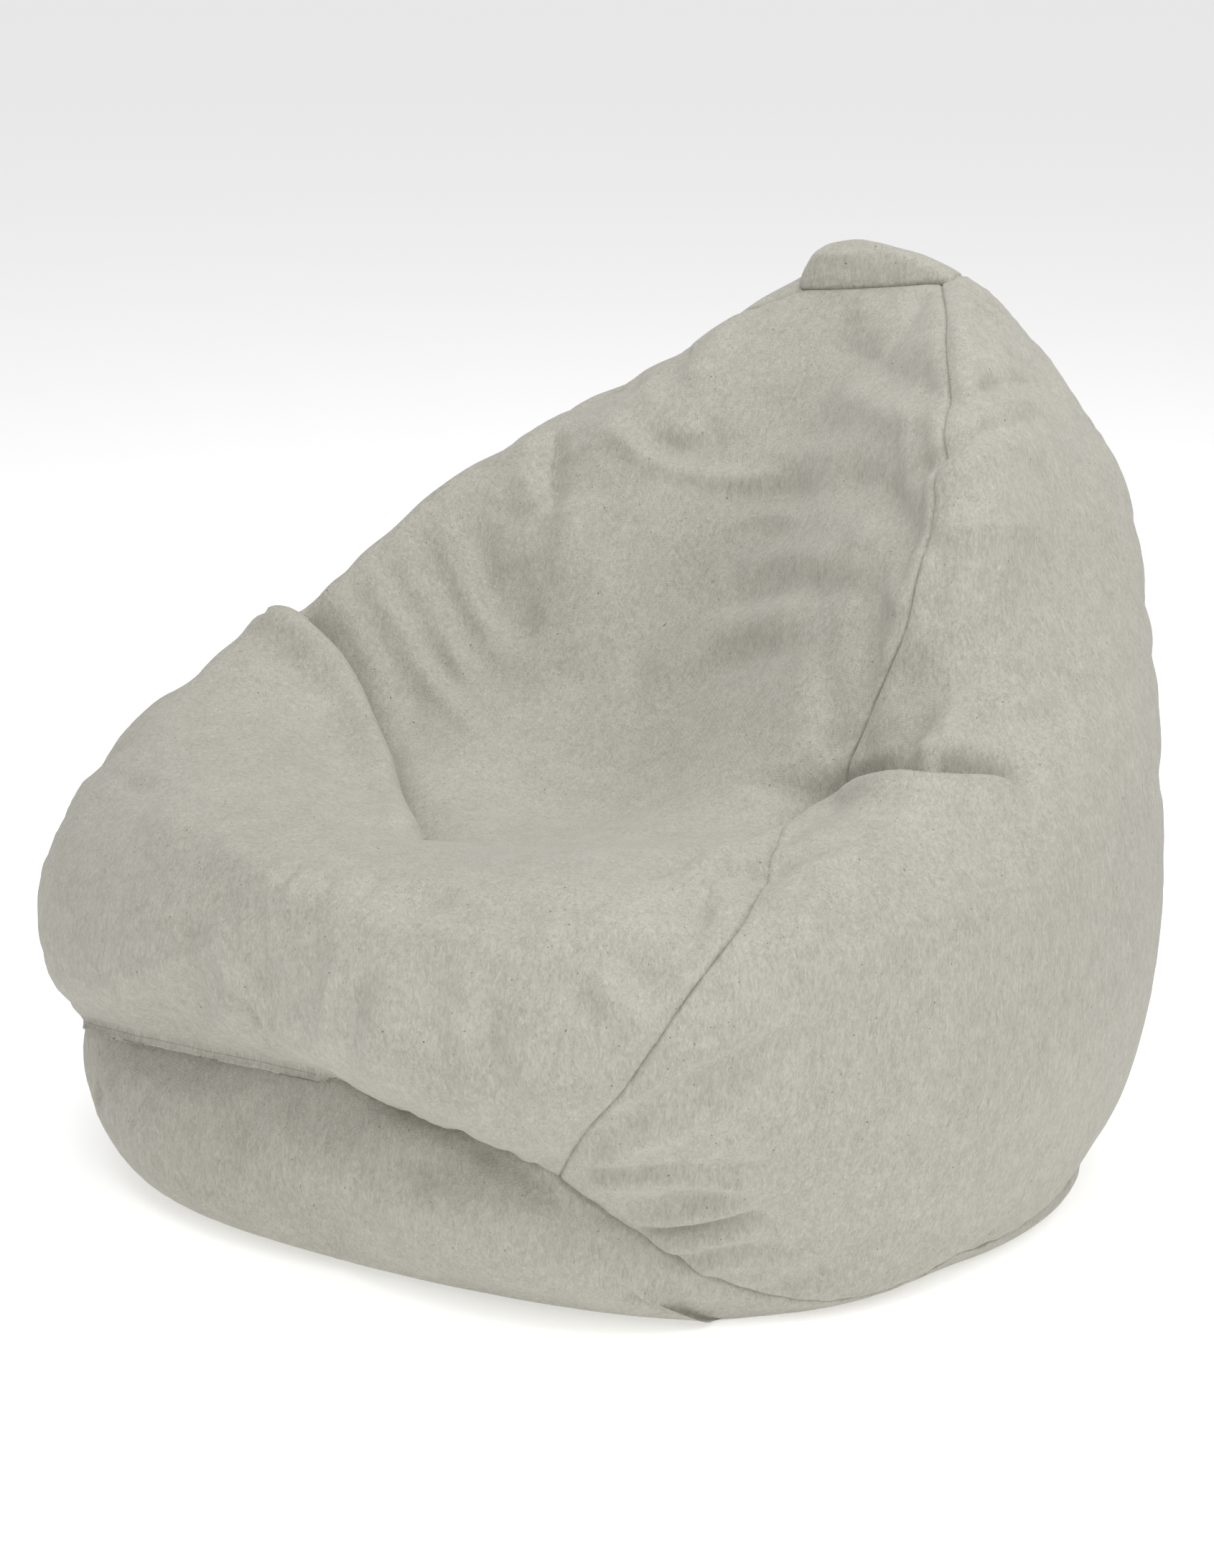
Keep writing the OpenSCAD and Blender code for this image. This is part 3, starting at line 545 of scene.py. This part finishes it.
def gore(u0, u1, seeds, step, lip):
    """One long panel of the cover, from the base seam to the cap seam."""
    low, high = SEAM_LINE, CAP_LINE
    u = np.linspace(u0, u1, 121)
    coarse = read_between(cover, *np.meshgrid(u, np.arange(low, high + 1.0)), low, high)
    up = run_along(coarse, 0).mean(axis=1)
    places = spaced(up[-1], step)
    line = np.interp(places, up, np.arange(low, high + 1.0))
    widest = run_along(coarse, 1)[:, -1].max()
    cols = spaced(widest, step)
    half = cols <= widest / 2
    edge = np.where(half, cols, widest - cols)
    uu = np.empty((len(line), len(cols)))
    left_d, right_d = np.empty_like(uu), np.empty_like(uu)
    for r, at in enumerate(line):
        p = read_between(cover, u, np.full(len(u), at), low, high)
        arc = np.concatenate([[0], np.cumsum(np.linalg.norm(np.diff(p, axis=0), axis=1))])
        total = arc[-1]
        near = min(1, total / 90)
        inner = 12 * near + (edge - 12) * (total / 2 - 12 * near) / (widest / 2 - 12)
        s = np.where(edge <= 12, edge * near, inner)
        s = np.where(half, s, total - s)
        uu[r] = np.interp(s, arc, u)
        left_d[r], right_d[r] = s, total - s
    ll = np.repeat(line[:, None], len(cols), axis=1)
    points = read_between(cover, uu, ll, low, high)
    out = unit(read_between(smooth_out, uu, ll, low, high))
    low_d = np.repeat(places[:, None], len(cols), axis=1)
    high_d = places[-1] - low_d
    along = run_along(points, 1)
    lift, by_zip = zip_lip(points, low_d) if lip else (0, 0)
    height = seam_sink(left_d) + seam_sink(right_d) + seam_sink(high_d) + seam_sink(low_d) * (1 - by_zip)
    height = height + gather(low_d, left_d, seeds[0]) + gather(low_d, right_d, seeds[1])
    height = height + gather(along, low_d, seeds[2]) * (1 - by_zip) + gather(along, high_d, seeds[3], 0.8)
    fold = folded(points, out) * kept_off(points)[..., None]
    height = height * ease((points[..., 2] - 1) / 12) + lift
    shaped = points + fold + out * height[..., None]
    if lip:
        # the edge of the lip stands back from the slider's way
        up_panel = unit(points[len(EDGE_STEPS)] - points[0])
        shaped = shaped + up_panel * (3.4 * by_zip * (1 - ease(low_d / 17.5)))[..., None]
    shaped[..., 2] = np.maximum(shaped[..., 2], 0.3)
    return shaped, out, low_d


TURN_IN = (2.0, 6.0, 10.0)
LINER_DEPTH, BEAD_DEPTH, THREAD_DEPTH = 9.0, 11.5, 6.2


def with_returns(points, out):
    """Turns all four sewn edges in, as seam allowances are."""
    low = [points[0] - out[0] * d for d in TURN_IN[::-1]]
    high = [points[-1] - out[-1] * d for d in TURN_IN]
    tall = np.concatenate([low, points, high])
    n = np.concatenate([[out[0]] * len(TURN_IN), out, [out[-1]] * len(TURN_IN)])
    left = [tall[:, 0] - n[:, 0] * d for d in TURN_IN[::-1]]
    right = [tall[:, -1] - n[:, -1] * d for d in TURN_IN]
    whole = np.concatenate([np.stack(left, axis=1), tall, np.stack(right, axis=1)], axis=1)
    whole[..., 2] = np.maximum(whole[..., 2], 0.3)
    return whole


def finish(piece, node, slot):
    """Every piece of the bag itself rides on the bag and stands for one node."""
    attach(piece, "bag")
    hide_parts(node)
    piece.data.materials.append(FINISHES[slot])
    return piece


FINISHES = {slot: bpy.data.materials.new(name) for slot, name in (
    ("cover_cloth", "greige_brushed_cloth"), ("sewing_thread", "greige_sewing_thread"),
    ("liner_cloth", "white_liner_cloth"), ("beads", "white_foam_beads"),
    ("zip_tape", "greige_zip_tape"), ("zip_teeth", "greige_moulded_teeth"),
    ("zip_metal", "greige_painted_metal"), ("label_tape", "white_label_tape"))}


def sew_gore(name, node, u0, u1, seeds, step, lip=False):
    """Makes one long panel and hands back its points, for the stitches."""
    points, out, low_d = gore(u0, u1, seeds, step, lip)
    shape = with_returns(points, out)
    finish(new_piece(name, shape.reshape(-1, 3), grid_faces(*shape.shape[:2])), node, "cover_cloth")
    return points, out, low_d


seat = sew_gore("seat_cover", "seat_panel", -45, 45, (1.0, 2.1, 0.4, 3.0), 4.2, lip=True)
sew_gore("right_cover", "right_side_panel", 45, 135, (2.1, 4.2, 5.0, 0.7), 4.2)
sew_gore("back_cover", "back_panel", 135, 225, (4.2, 5.5, 1.9, 2.6), 6.0)
sew_gore("left_cover", "left_side_panel", 225, 315, (5.5, 1.0, 3.3, 4.1), 5.0)


def ringed(low, high, u, step, first, last):
    """Points of a panel that closes round the bag, with how far each row is from its start."""
    coarse = read_between(cover, *np.meshgrid(u, np.linspace(low, high, 3 * (high - low) + 1)), low, high)
    up = run_along(coarse, 0).mean(axis=1)
    places = spaced(up[-1], step, first=first, last=last)
    line = np.interp(places, up, np.linspace(low, high, 3 * (high - low) + 1))
    uu, ll = np.meshgrid(u, line)
    points = read_between(cover, uu, ll, low, high)
    out = unit(read_between(smooth_out, uu, ll, low, high))
    return points, out, np.repeat(places[:, None], len(u), axis=1), uu


def sew_base():
    """The base panel: a flat floor that rises to the base seam all round."""
    points, out, up, uu = ringed(0, SEAM_LINE, np.linspace(0, 360, 481)[:-1], 7, False, True)
    down = up[-1] - up
    along = run_along(points, 1)
    s = (points - zip_from) @ zip_x
    by_zip = ease((s + 2) / 10) * ease((zip_long - 1 - s) / 12) * (uu >= 314)
    height = seam_sink(down) * (1 - 0.55 * by_zip) + gather(along, down, 2.2) * (1 - by_zip)
    fold = folded(points, out) * kept_off(points)[..., None]
    points = points + fold + out * (height * ease((points[..., 2] - 1) / 12))[..., None]
    # along the zip the edge stands back two millimetres from the middle of the slit
    edge = unit(points[-3] - points[-1])
    for r, share in ((-1, 1.0), (-2, 0.8), (-3, 0.5), (-4, 0.25)):
        points[r] = points[r] + edge * (2.2 * share * by_zip[r])[:, None]
    # away from the zip the turned-in edge lies under the long panels, so that the seam is closed
    tucked = (1 - 0.64 * by_zip[-1])[:, None]
    share = 3.0 * (1 - by_zip[-1]) * ease((points[-1, :, 2] - 4) / 20)
    under = unit(points[-1] - points[-3]) * share[:, None]
    shape = np.concatenate([points, [points[-1] - out[-1] * d * tucked + under for d in TURN_IN]])
    shape[..., 2] = np.maximum(shape[..., 2], 0)
    m, n = shape.shape[:2]
    middle = shape[0].mean(axis=0)
    faces = grid_faces(m, n, closed=True) + [[(i + 1) % n, i, m * n] for i in range(n)]
    piece = new_piece("base_cover", np.vstack([shape.reshape(-1, 3), middle]), faces)
    finish(piece, "base_panel", "cover_cloth")


def sew_cap():
    """The small cap that closes the top."""
    points, out, up, _ = ringed(CAP_LINE, LAST, np.linspace(0, 360, 241)[:-1], 2.4, True, False)
    height = seam_sink(up) + gather(run_along(points, 1), up, 1.3, 1.0)
    points = points + out * height[..., None]
    shape = np.concatenate([[points[0] - out[0] * d for d in TURN_IN[::-1]], points])
    m, n = shape.shape[:2]
    middle = shape[-1].mean(axis=0) + (0, 0, 0.6)
    last = (m - 1) * n
    faces = grid_faces(m, n, closed=True) + [[last + i, last + (i + 1) % n, m * n] for i in range(n)]
    piece = new_piece("cap_cover", np.vstack([shape.reshape(-1, 3), middle]), faces)
    finish(piece, "top_cap", "cover_cloth")


sew_base()
sew_cap()

# ---------------------------------------------------------------- inside: liner and beads
# The inside stays well under the cover where its folds go deepest, so that nothing shows through
sunk = np.maximum(-((folded_cover - smooth_bag) * smooth_out).sum(axis=-1), 0)
for _ in range(4):
    sunk = np.maximum(sunk, np.maximum(np.roll(sunk, 1, axis=1), np.roll(sunk, -1, axis=1)))
    sunk[1:-1] = np.maximum(sunk[1:-1], np.maximum(sunk[2:], sunk[:-2]))
for _ in range(8):
    sunk = (sunk + np.roll(sunk, 1, axis=1) + np.roll(sunk, -1, axis=1)) / 3
    sunk[1:-1] = (sunk[1:-1] + sunk[2:] + sunk[:-2]) / 3
sunk = sunk * ease((smooth_bag[..., 2] - 10) / 60)


def inside(depth):
    """The smooth bag's own lines at a depth below its face, further in behind the zip."""
    behind = 12 * ease((75 - from_zip(smooth_bag)) / 40)
    rows = np.arange(len(smooth_bag))[:, None]
    under_seams = 8 * np.exp(-((rows - SEAM_LINE) / 5) ** 2) + 4 * np.exp(-((rows - CAP_LINE) / 3) ** 2)
    p = smooth_bag - smooth_out * (depth + sunk + behind + under_seams)[..., None]
    on_floor = smooth_bag * (0.94, 0.94, 1) + (0, 0, depth)
    share = ease((smooth_bag[..., 2] - 12) / 50)[..., None]
    p = p * share + on_floor * (1 - share)
    p[..., 2] = np.maximum(p[..., 2], depth)
    return p


def line_bag(name, node, rows, cols):
    """One piece of the liner, as thin cloth."""
    shell = inside(LINER_DEPTH)
    part = shell[np.ix_(rows, cols)]
    closed = len(cols) == AROUND // 3
    faces = grid_faces(*part.shape[:2], closed=closed)
    points = part.reshape(-1, 3)
    if closed:
        m, n = part.shape[:2]
        pole = 0 if rows[0] == 0 else m - 1
        points = np.vstack([points, part[pole].mean(axis=0)])
        fan = [[pole * n + i, pole * n + (i + 1) % n, m * n] for i in range(n)]
        faces += [f[::-1] if pole == 0 else f for f in fan]
    piece = new_piece(name, points, faces)
    wall = piece.modifiers.new("cloth_thickness", "SOLIDIFY")
    wall.thickness = 0.0008
    wall.offset = -1
    bpy.ops.object.select_all(action="DESELECT")
    bpy.context.view_layer.objects.active = piece
    piece.select_set(True)
    bpy.ops.object.modifier_apply(modifier="cloth_thickness")
    finish(piece, node, "liner_cloth")


gore_rows = list(range(SEAM_LINE, CAP_LINE, 3)) + [CAP_LINE]
for name, node, first in (("seat_liner", "liner_seat", 7), ("right_liner", "liner_right", 1),
                          ("back_liner", "liner_back", 3), ("left_liner", "liner_left", 5)):
    start = AROUND * first // 8
    line_bag(name, node, gore_rows, [(start + k) % AROUND for k in range(0, AROUND // 4 + 1, 3)])
all_round = list(range(0, AROUND, 3))
line_bag("base_liner", "liner_base", list(range(0, SEAM_LINE, 2)) + [SEAM_LINE], all_round)
line_bag("cap_liner", "liner_cap", list(range(CAP_LINE, LAST + 1)), all_round)


def pour_beads():
    """The beads settle as one body just inside the liner."""
    heap = inside(BEAD_DEPTH)[::3, ::3]
    m, n = heap.shape[:2]
    points = np.vstack([heap.reshape(-1, 3), heap[0].mean(axis=0), heap[-1].mean(axis=0)])
    faces = grid_faces(m, n, closed=True)
    faces += [[(i + 1) % n, i, m * n] for i in range(n)]
    faces += [[(m - 1) * n + i, (m - 1) * n + (i + 1) % n, m * n + 1] for i in range(n)]
    finish(new_piece("bead_heap", points, faces), "bead_fill", "beads")


pour_beads()


# ---------------------------------------------------------------- thread
def thread_line(name, points, closed, radius=0.45):
    """A sewing thread laid along a line of points."""
    curve = bpy.data.curves.new(name, "CURVE")
    curve.dimensions = "3D"
    run = curve.splines.new("POLY")
    run.points.add(len(points) - 1)
    for p, co in zip(run.points, points * MM):
        p.co = (*co, 1)
    run.use_cyclic_u = closed
    curve.bevel_depth = radius * MM
    curve.bevel_resolution = 1
    curve.use_fill_caps = not closed
    piece = bpy.data.objects.new(name, curve)
    bpy.context.collection.objects.link(piece)
    bpy.ops.object.select_all(action="DESELECT")
    bpy.context.view_layer.objects.active = piece
    piece.select_set(True)
    bpy.ops.object.convert(target="MESH")
    return bpy.context.object


def sew_thread(name, node, u, line, closed=False):
    """The lockstitch line inside a seam, just under the edges that it joins."""
    p = read_between(cover, u, line, 0, LAST)
    n = unit(read_between(smooth_out, u, line, 0, LAST))
    fold = folded(p, n) * kept_off(p)[..., None]
    points = p + fold - n * THREAD_DEPTH
    points[:, 2] = np.maximum(points[:, 2], 1.0)
    finish(thread_line(name, points, closed), node, "sewing_thread")


rise = np.linspace(SEAM_LINE + 1.5, CAP_LINE - 1.0, 220)
for name, node, u in (("front_right_thread", "seam_thread_front_right", 45.0),
                      ("back_right_thread", "seam_thread_back_right", 135.0),
                      ("back_left_thread", "seam_thread_back_left", 225.0),
                      ("front_left_thread", "seam_thread_front_left", 315.0)):
    sew_thread(name, node, np.full(len(rise), u), rise)
sew_thread("base_thread", "seam_thread_base", np.linspace(2, 313, 320), np.full(320, float(SEAM_LINE)))
sew_thread("cap_thread", "seam_thread_cap", np.linspace(0, 360, 121)[:-1],
           np.full(120, float(CAP_LINE)), closed=True)


# ---------------------------------------------------------------- stitches that show
def one_stitch(length, radius):
    """A single stitch, pulled down at both ends; along X, standing on Z."""
    bpy.ops.object.select_all(action="DESELECT")
    bpy.ops.mesh.primitive_cylinder_add(vertices=6, radius=radius, depth=length, location=(0, 0, 0),
                                        rotation=(0, math.pi / 2, 0))
    stitch = bpy.context.object
    bpy.ops.object.transform_apply(location=True, rotation=True, scale=True)
    bpy.ops.object.mode_set(mode="EDIT")
    bpy.ops.mesh.select_all(action="SELECT")
    bpy.ops.mesh.bisect(plane_co=(0, 0, 0), plane_no=(1, 0, 0))
    bpy.ops.mesh.select_all(action="SELECT")
    bpy.ops.mesh.normals_make_consistent(inside=False)
    bpy.ops.object.mode_set(mode="OBJECT")
    for v in stitch.data.vertices:
        end = abs(v.co.x) / (length / 2)
        v.co.y *= 1 - 0.45 * end
        v.co.z = v.co.z * (1 - 0.45 * end) - radius * 1.3 * end
    return stitch


def lay_stitches(name, places, length=3.1, radius=0.42):
    """Copies of one stitch at each place: its middle, its direction and the way it faces."""
    model = one_stitch(length * MM, radius * MM)
    copies = []
    for middle, along, face in places:
        copy = bpy.data.objects.new(name, model.data.copy())
        bpy.context.collection.objects.link(copy)
        x = Vector(along).normalized()
        z = Vector(face)
        z = (z - x * z.dot(x)).normalized()
        y = z.cross(x)
        turn = Matrix((x, y, z)).transposed().to_4x4()
        turn.translation = Vector(middle) * MM
        copy.data.transform(turn)
        copies.append(copy)
    bpy.data.objects.remove(model, do_unlink=True)
    bpy.ops.object.select_all(action="DESELECT")
    for copy in copies:
        copy.select_set(True)
    bpy.context.view_layer.objects.active = copies[0]
    bpy.ops.object.join()
    piece = bpy.context.object
    piece.name = name
    piece.data.polygons.foreach_set("use_smooth", [True] * len(piece.data.polygons))
    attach(piece, "bag")
    piece.data.materials.append(FINISHES["sewing_thread"])


seat_points, seat_out, seat_low = seat
ahead = (seat_points - zip_from) @ zip_x
depth = seat_low[:, 0]


def on_lip(s, d):
    """A point of the seat panel near the zip: s along it and d up from its edge."""
    j = int(np.searchsorted(depth, d)) - 1
    t = (d - depth[j]) / (depth[j + 1] - depth[j])
    spots = []
    for r in (j, j + 1):
        order = np.argsort(ahead[r])
        spots.append(([np.interp(s, ahead[r][order], seat_points[r][order, q]) for q in range(3)],
                      [np.interp(s, ahead[r][order], seat_out[r][order, q]) for q in range(3)]))
    (p0, n0), (p1, n1) = spots
    return (np.array(p0) * (1 - t) + np.array(p1) * t, unit(np.array(n0) * (1 - t) + np.array(n1) * t))


topstitch = []
for s in np.arange(12, zip_long - 14, 4.0):
    p, n = on_lip(s, 11.5)
    q, _ = on_lip(s + 2, 11.5)
    topstitch.append((p + n * 0.35, q - p, n))
lay_stitches("zip_lip_topstitch", topstitch)

# Bar tacks close the zip's slit at its end by the middle of the front
tacks = []
for s in (1.5, 2.6, 3.7, 4.8):
    for d in (2.0, 5.0, 8.0):
        p, n = on_lip(s, d)
        q, _ = on_lip(s, d + 1.5)
        tacks.append((p + n * 0.5, q - p, n))
lay_stitches("zip_end_bar_tack", tacks, length=3.4, radius=0.45)

# ---------------------------------------------------------------- floor and light
bpy.ops.mesh.primitive_plane_add(size=400, location=(0, 0, -0.0005))
floor = bpy.context.object
floor.name = "studio_floor"
white = bpy.data.materials.new("studio_white")
white.use_nodes = True
paint = white.node_tree.nodes["Principled BSDF"]
paint.inputs["Base Color"].default_value = (0.92, 0.92, 0.92, 1)
paint.inputs["Roughness"].default_value = 0.9
paint.inputs["Emission Color"].default_value = (1, 1, 1, 1)
paint.inputs["Emission Strength"].default_value = 0.42
floor.data.materials.append(white)

world = bpy.data.worlds.new("studio_air")
world.use_nodes = True
world.node_tree.nodes["Background"].inputs["Color"].default_value = (1, 1, 1, 1)
world.node_tree.nodes["Background"].inputs["Strength"].default_value = 0.40
bpy.context.scene.world = world
bpy.context.scene.view_settings.view_transform = "Standard"


def soft_light(name, azimuth, elevation, distance, size, power):
    """A square softbox that faces the middle of the bag."""
    a, e = math.radians(azimuth), math.radians(elevation)
    back = Vector((math.sin(a) * math.cos(e), -math.cos(a) * math.cos(e), math.sin(e)))
    bpy.ops.object.light_add(type="AREA", location=Vector((0, 0, 0.35)) + back * distance)
    lamp = bpy.context.object
    lamp.name = name
    lamp.rotation_euler = (-back).to_track_quat("-Z", "Y").to_euler()
    lamp.data.size = size
    lamp.data.energy = power


soft_light("front_softbox", 42, 45, 3.0, 1.8, 28)
soft_light("right_softbox", 100, 45, 3.0, 1.8, 20)
soft_light("rear_softbox", 200, 60, 3.0, 1.8, 20)
soft_light("overhead_softbox", 10, 70, 3.0, 1.8, 22)

# ---------------------------------------------------------------- finishes
class Finish:
    """One material being made; every pattern is in metres on the piece itself."""

    def __init__(self, material, roughness, **sockets):
        material.use_nodes = True
        self.tree = material.node_tree
        self.shader = self.tree.nodes["Principled BSDF"]
        self.shader.inputs["Roughness"].default_value = roughness
        for name, value in sockets.items():
            self.shader.inputs[name.replace("_", " ")].default_value = value
        self.place = self.tree.nodes.new("ShaderNodeTexCoord").outputs["Object"]

    def node(self, kind, **settings):
        n = self.tree.nodes.new(kind)
        for name, value in settings.items():
            setattr(n, name, value)
        return n

    def join(self, a, b):
        self.tree.links.new(a, b)

    def turned(self, scale=(1, 1, 1), turn=(0, 0, 0)):
        n = self.node("ShaderNodeMapping")
        n.inputs["Scale"].default_value = scale
        n.inputs["Rotation"].default_value = turn
        self.join(self.place, n.inputs["Vector"])
        return n.outputs["Vector"]

    def noise(self, scale, detail=3.0, rough=0.55, vector=None, distortion=0.0):
        n = self.node("ShaderNodeTexNoise")
        n.inputs["Scale"].default_value = scale
        n.inputs["Detail"].default_value = detail
        n.inputs["Roughness"].default_value = rough
        n.inputs["Distortion"].default_value = distortion
        self.join(vector or self.place, n.inputs["Vector"])
        return n.outputs["Fac"]

    def threads(self, scale, turn, distortion=0.6, stretch=(1, 1, 1)):
        n = self.node("ShaderNodeTexWave", bands_direction="X")
        n.inputs["Scale"].default_value = scale
        n.inputs["Distortion"].default_value = distortion
        n.inputs["Detail"].default_value = 2.0
        n.inputs["Detail Scale"].default_value = 1.5
        self.join(self.turned(scale=stretch, turn=turn), n.inputs["Vector"])
        return n.outputs["Fac"]

    def span(self, value, low, high, to_low=0.0, to_high=1.0):
        n = self.node("ShaderNodeMapRange")
        for name, v in (("From Min", low), ("From Max", high), ("To Min", to_low), ("To Max", to_high)):
            n.inputs[name].default_value = v
        self.join(value, n.inputs["Value"])
        return n.outputs["Result"]

    def sum(self, a, b, share=1.0):
        n = self.node("ShaderNodeMath", operation="MULTIPLY_ADD")
        self.join(b, n.inputs[0])
        n.inputs[1].default_value = share
        self.join(a, n.inputs[2])
        return n.outputs[0]

    def blend(self, share, a, b):
        n = self.node("ShaderNodeMix", data_type="RGBA")
        self.join(share, n.inputs["Factor"])
        for socket, colour in ((n.inputs[6], a), (n.inputs[7], b)):
            if isinstance(colour, tuple):
                socket.default_value = (*colour, 1)
            else:
                self.join(colour, socket)
        return n.outputs[2]

    def colour(self, value):
        self.join(value, self.shader.inputs["Base Color"])

    def relief(self, height, depth, strength=1.0):
        n = self.node("ShaderNodeBump")
        n.inputs["Distance"].default_value = depth
        n.inputs["Strength"].default_value = strength
        self.join(height, n.inputs["Height"])
        self.join(n.outputs["Normal"], self.shader.inputs["Normal"])


def brushed_cloth(material):
    """Greige brushed upholstery cloth: short raised fibres over a fine weave, a few dark flecks."""
    f = Finish(material, 0.94, Sheen_Weight=0.22, Sheen_Roughness=0.45, Specular_IOR_Level=0.2)
    f.shader.inputs["Sheen Tint"].default_value = (0.96, 0.95, 0.9, 1)
    nap = f.turned(scale=(1.0, 1.0, 0.38), turn=(0.12, 0.2, 0.3))
    fibres = f.noise(620, 4.0, 0.62, nap, 0.5)
    tufts = f.noise(230, 3.0, 0.6, nap, 0.8)
    patches = f.noise(42, 3.0, 0.5)
    worn = f.noise(5.5, 2.0, 0.5)
    shade = f.sum(f.sum(f.span(fibres, 0.28, 0.72, -0.5, 0.5), f.span(tufts, 0.3, 0.7, -0.5, 0.5), 0.75),
                  f.span(patches, 0.3, 0.7, -0.5, 0.5), 0.28)
    shade = f.sum(shade, f.span(worn, 0.35, 0.65, -0.5, 0.5), 0.16)
    cloth = f.blend(f.span(shade, -0.62, 0.62), (0.350, 0.340, 0.292), (0.515, 0.503, 0.440))
    fleck = f.span(f.noise(330, 1.0, 0.4), 0.765, 0.80)
    f.colour(f.blend(fleck, cloth, (0.16, 0.14, 0.11)))
    weave = f.sum(f.threads(190, (0, 0, 0.3)), f.threads(190, (0, math.pi / 2, 0.3)))
    f.relief(f.sum(f.sum(fibres, tufts, 1.1), weave, 0.12), 0.0007, 0.85)


def sewing_thread(material):
    """Spun thread with its twist."""
    f = Finish(material, 0.7, Sheen_Weight=0.15)
    twist = f.threads(900, (0, 0.6, 0.7), 0.3)
    shade = f.sum(f.span(twist, 0, 1, 0, 0.6), f.noise(700), 0.5)
    f.colour(f.blend(shade, (0.36, 0.34, 0.28), (0.56, 0.54, 0.46)))
    f.relief(twist, 0.00012, 0.8)


def liner_cloth(material):
    """Plain white lining with a flat square weave."""
    f = Finish(material, 0.85)
    weave = f.sum(f.threads(420, (0, 0, 0)), f.threads(420, (0, math.pi / 2, 0)))
    shade = f.sum(f.span(weave, 0, 2, 0, 0.6), f.noise(60), 0.4)
    f.colour(f.blend(shade, (0.68, 0.68, 0.65), (0.86, 0.86, 0.84)))
    f.relief(weave, 0.0002, 0.6)


def foam_beads(material):
    """A heap of white foam beads a few millimetres across, with painted shade between the beads."""
    f = Finish(material, 0.6, Specular_IOR_Level=0.3)
    n = f.node("ShaderNodeTexVoronoi", feature="F1")
    n.inputs["Scale"].default_value = 260
    f.join(f.place, n.inputs["Vector"])
    # The grey towards each bead's rim, where the relief sinks, is painted shade between the beads; the foam
    # itself is white
    f.colour(f.blend(f.span(n.outputs["Distance"], 0.1, 0.8), (0.93, 0.93, 0.92), (0.55, 0.55, 0.54)))
    f.relief(f.span(n.outputs["Distance"], 0, 0.8, 1, 0), 0.0016, 1.0)


def zip_tape(material):
    """Woven zip tape with a slanting rib."""
    f = Finish(material, 0.8, Sheen_Weight=0.1)
    rib = f.sum(f.threads(360, (0, 0, 0.8), 0.2), f.threads(360, (0, 0, -0.8), 0.2))
    shade = f.sum(f.span(rib, 0, 2, 0, 0.7), f.noise(300), 0.3)
    f.colour(f.blend(shade, (0.30, 0.29, 0.24), (0.47, 0.45, 0.39)))
    f.relief(rib, 0.00025, 0.8)


def moulded_teeth(material):
    """Moulded plastic teeth, slightly cloudy, dull where they have rubbed."""
    f = Finish(material, 0.42, Specular_IOR_Level=0.5)
    cloud = f.noise(240, 2.0)
    f.colour(f.blend(cloud, (0.26, 0.24, 0.20), (0.36, 0.34, 0.29)))
    f.join(f.span(f.noise(700, 2.0), 0.3, 0.7, 0.34, 0.58), f.shader.inputs["Roughness"])
    f.relief(cloud, 0.00006, 0.5)


def painted_metal(material):
    """Slider and puller: painted casting, the paint thin in scattered patches."""
    f = Finish(material, 0.36, Specular_IOR_Level=0.5, Coat_Weight=0.2)
    worn = f.span(f.noise(420, 4.0, 0.6), 0.62, 0.70)
    f.colour(f.blend(worn, (0.29, 0.28, 0.24), (0.52, 0.51, 0.48)))
    f.join(f.span(f.noise(900, 2.0), 0.3, 0.7, 0.28, 0.5), f.shader.inputs["Roughness"])
    f.relief(f.noise(1500, 2.0), 0.00004, 0.5)


def label_tape(material):
    """Blank white satin label tape."""
    f = Finish(material, 0.45, Sheen_Weight=0.1)
    satin = f.threads(700, (0, math.pi / 2, 0), 0.3)
    shade = f.sum(f.span(satin, 0, 1, 0, 0.5), f.noise(120), 0.5)
    f.colour(f.blend(shade, (0.74, 0.73, 0.70), (0.88, 0.87, 0.84)))
    f.relief(satin, 0.0001, 0.6)


for slot, build in (("cover_cloth", brushed_cloth), ("sewing_thread", sewing_thread),
                    ("liner_cloth", liner_cloth), ("beads", foam_beads), ("zip_tape", zip_tape),
                    ("zip_teeth", moulded_teeth), ("zip_metal", painted_metal), ("label_tape", label_tape)):
    build(FINISHES[slot])

for name, slot in (("zip_tape_upper", "zip_tape"), ("zip_tape_lower", "zip_tape"),
                   ("zip_teeth_upper", "zip_teeth"), ("zip_teeth_lower", "zip_teeth"),
                   ("zip_slider", "zip_metal"), ("zip_puller", "zip_metal"),
                   ("zip_stop_middle", "zip_metal"), ("zip_stop_corner", "zip_metal"),
                   ("care_label", "label_tape")):
    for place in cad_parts[name].material_slots:
        place.material = FINISHES[slot]
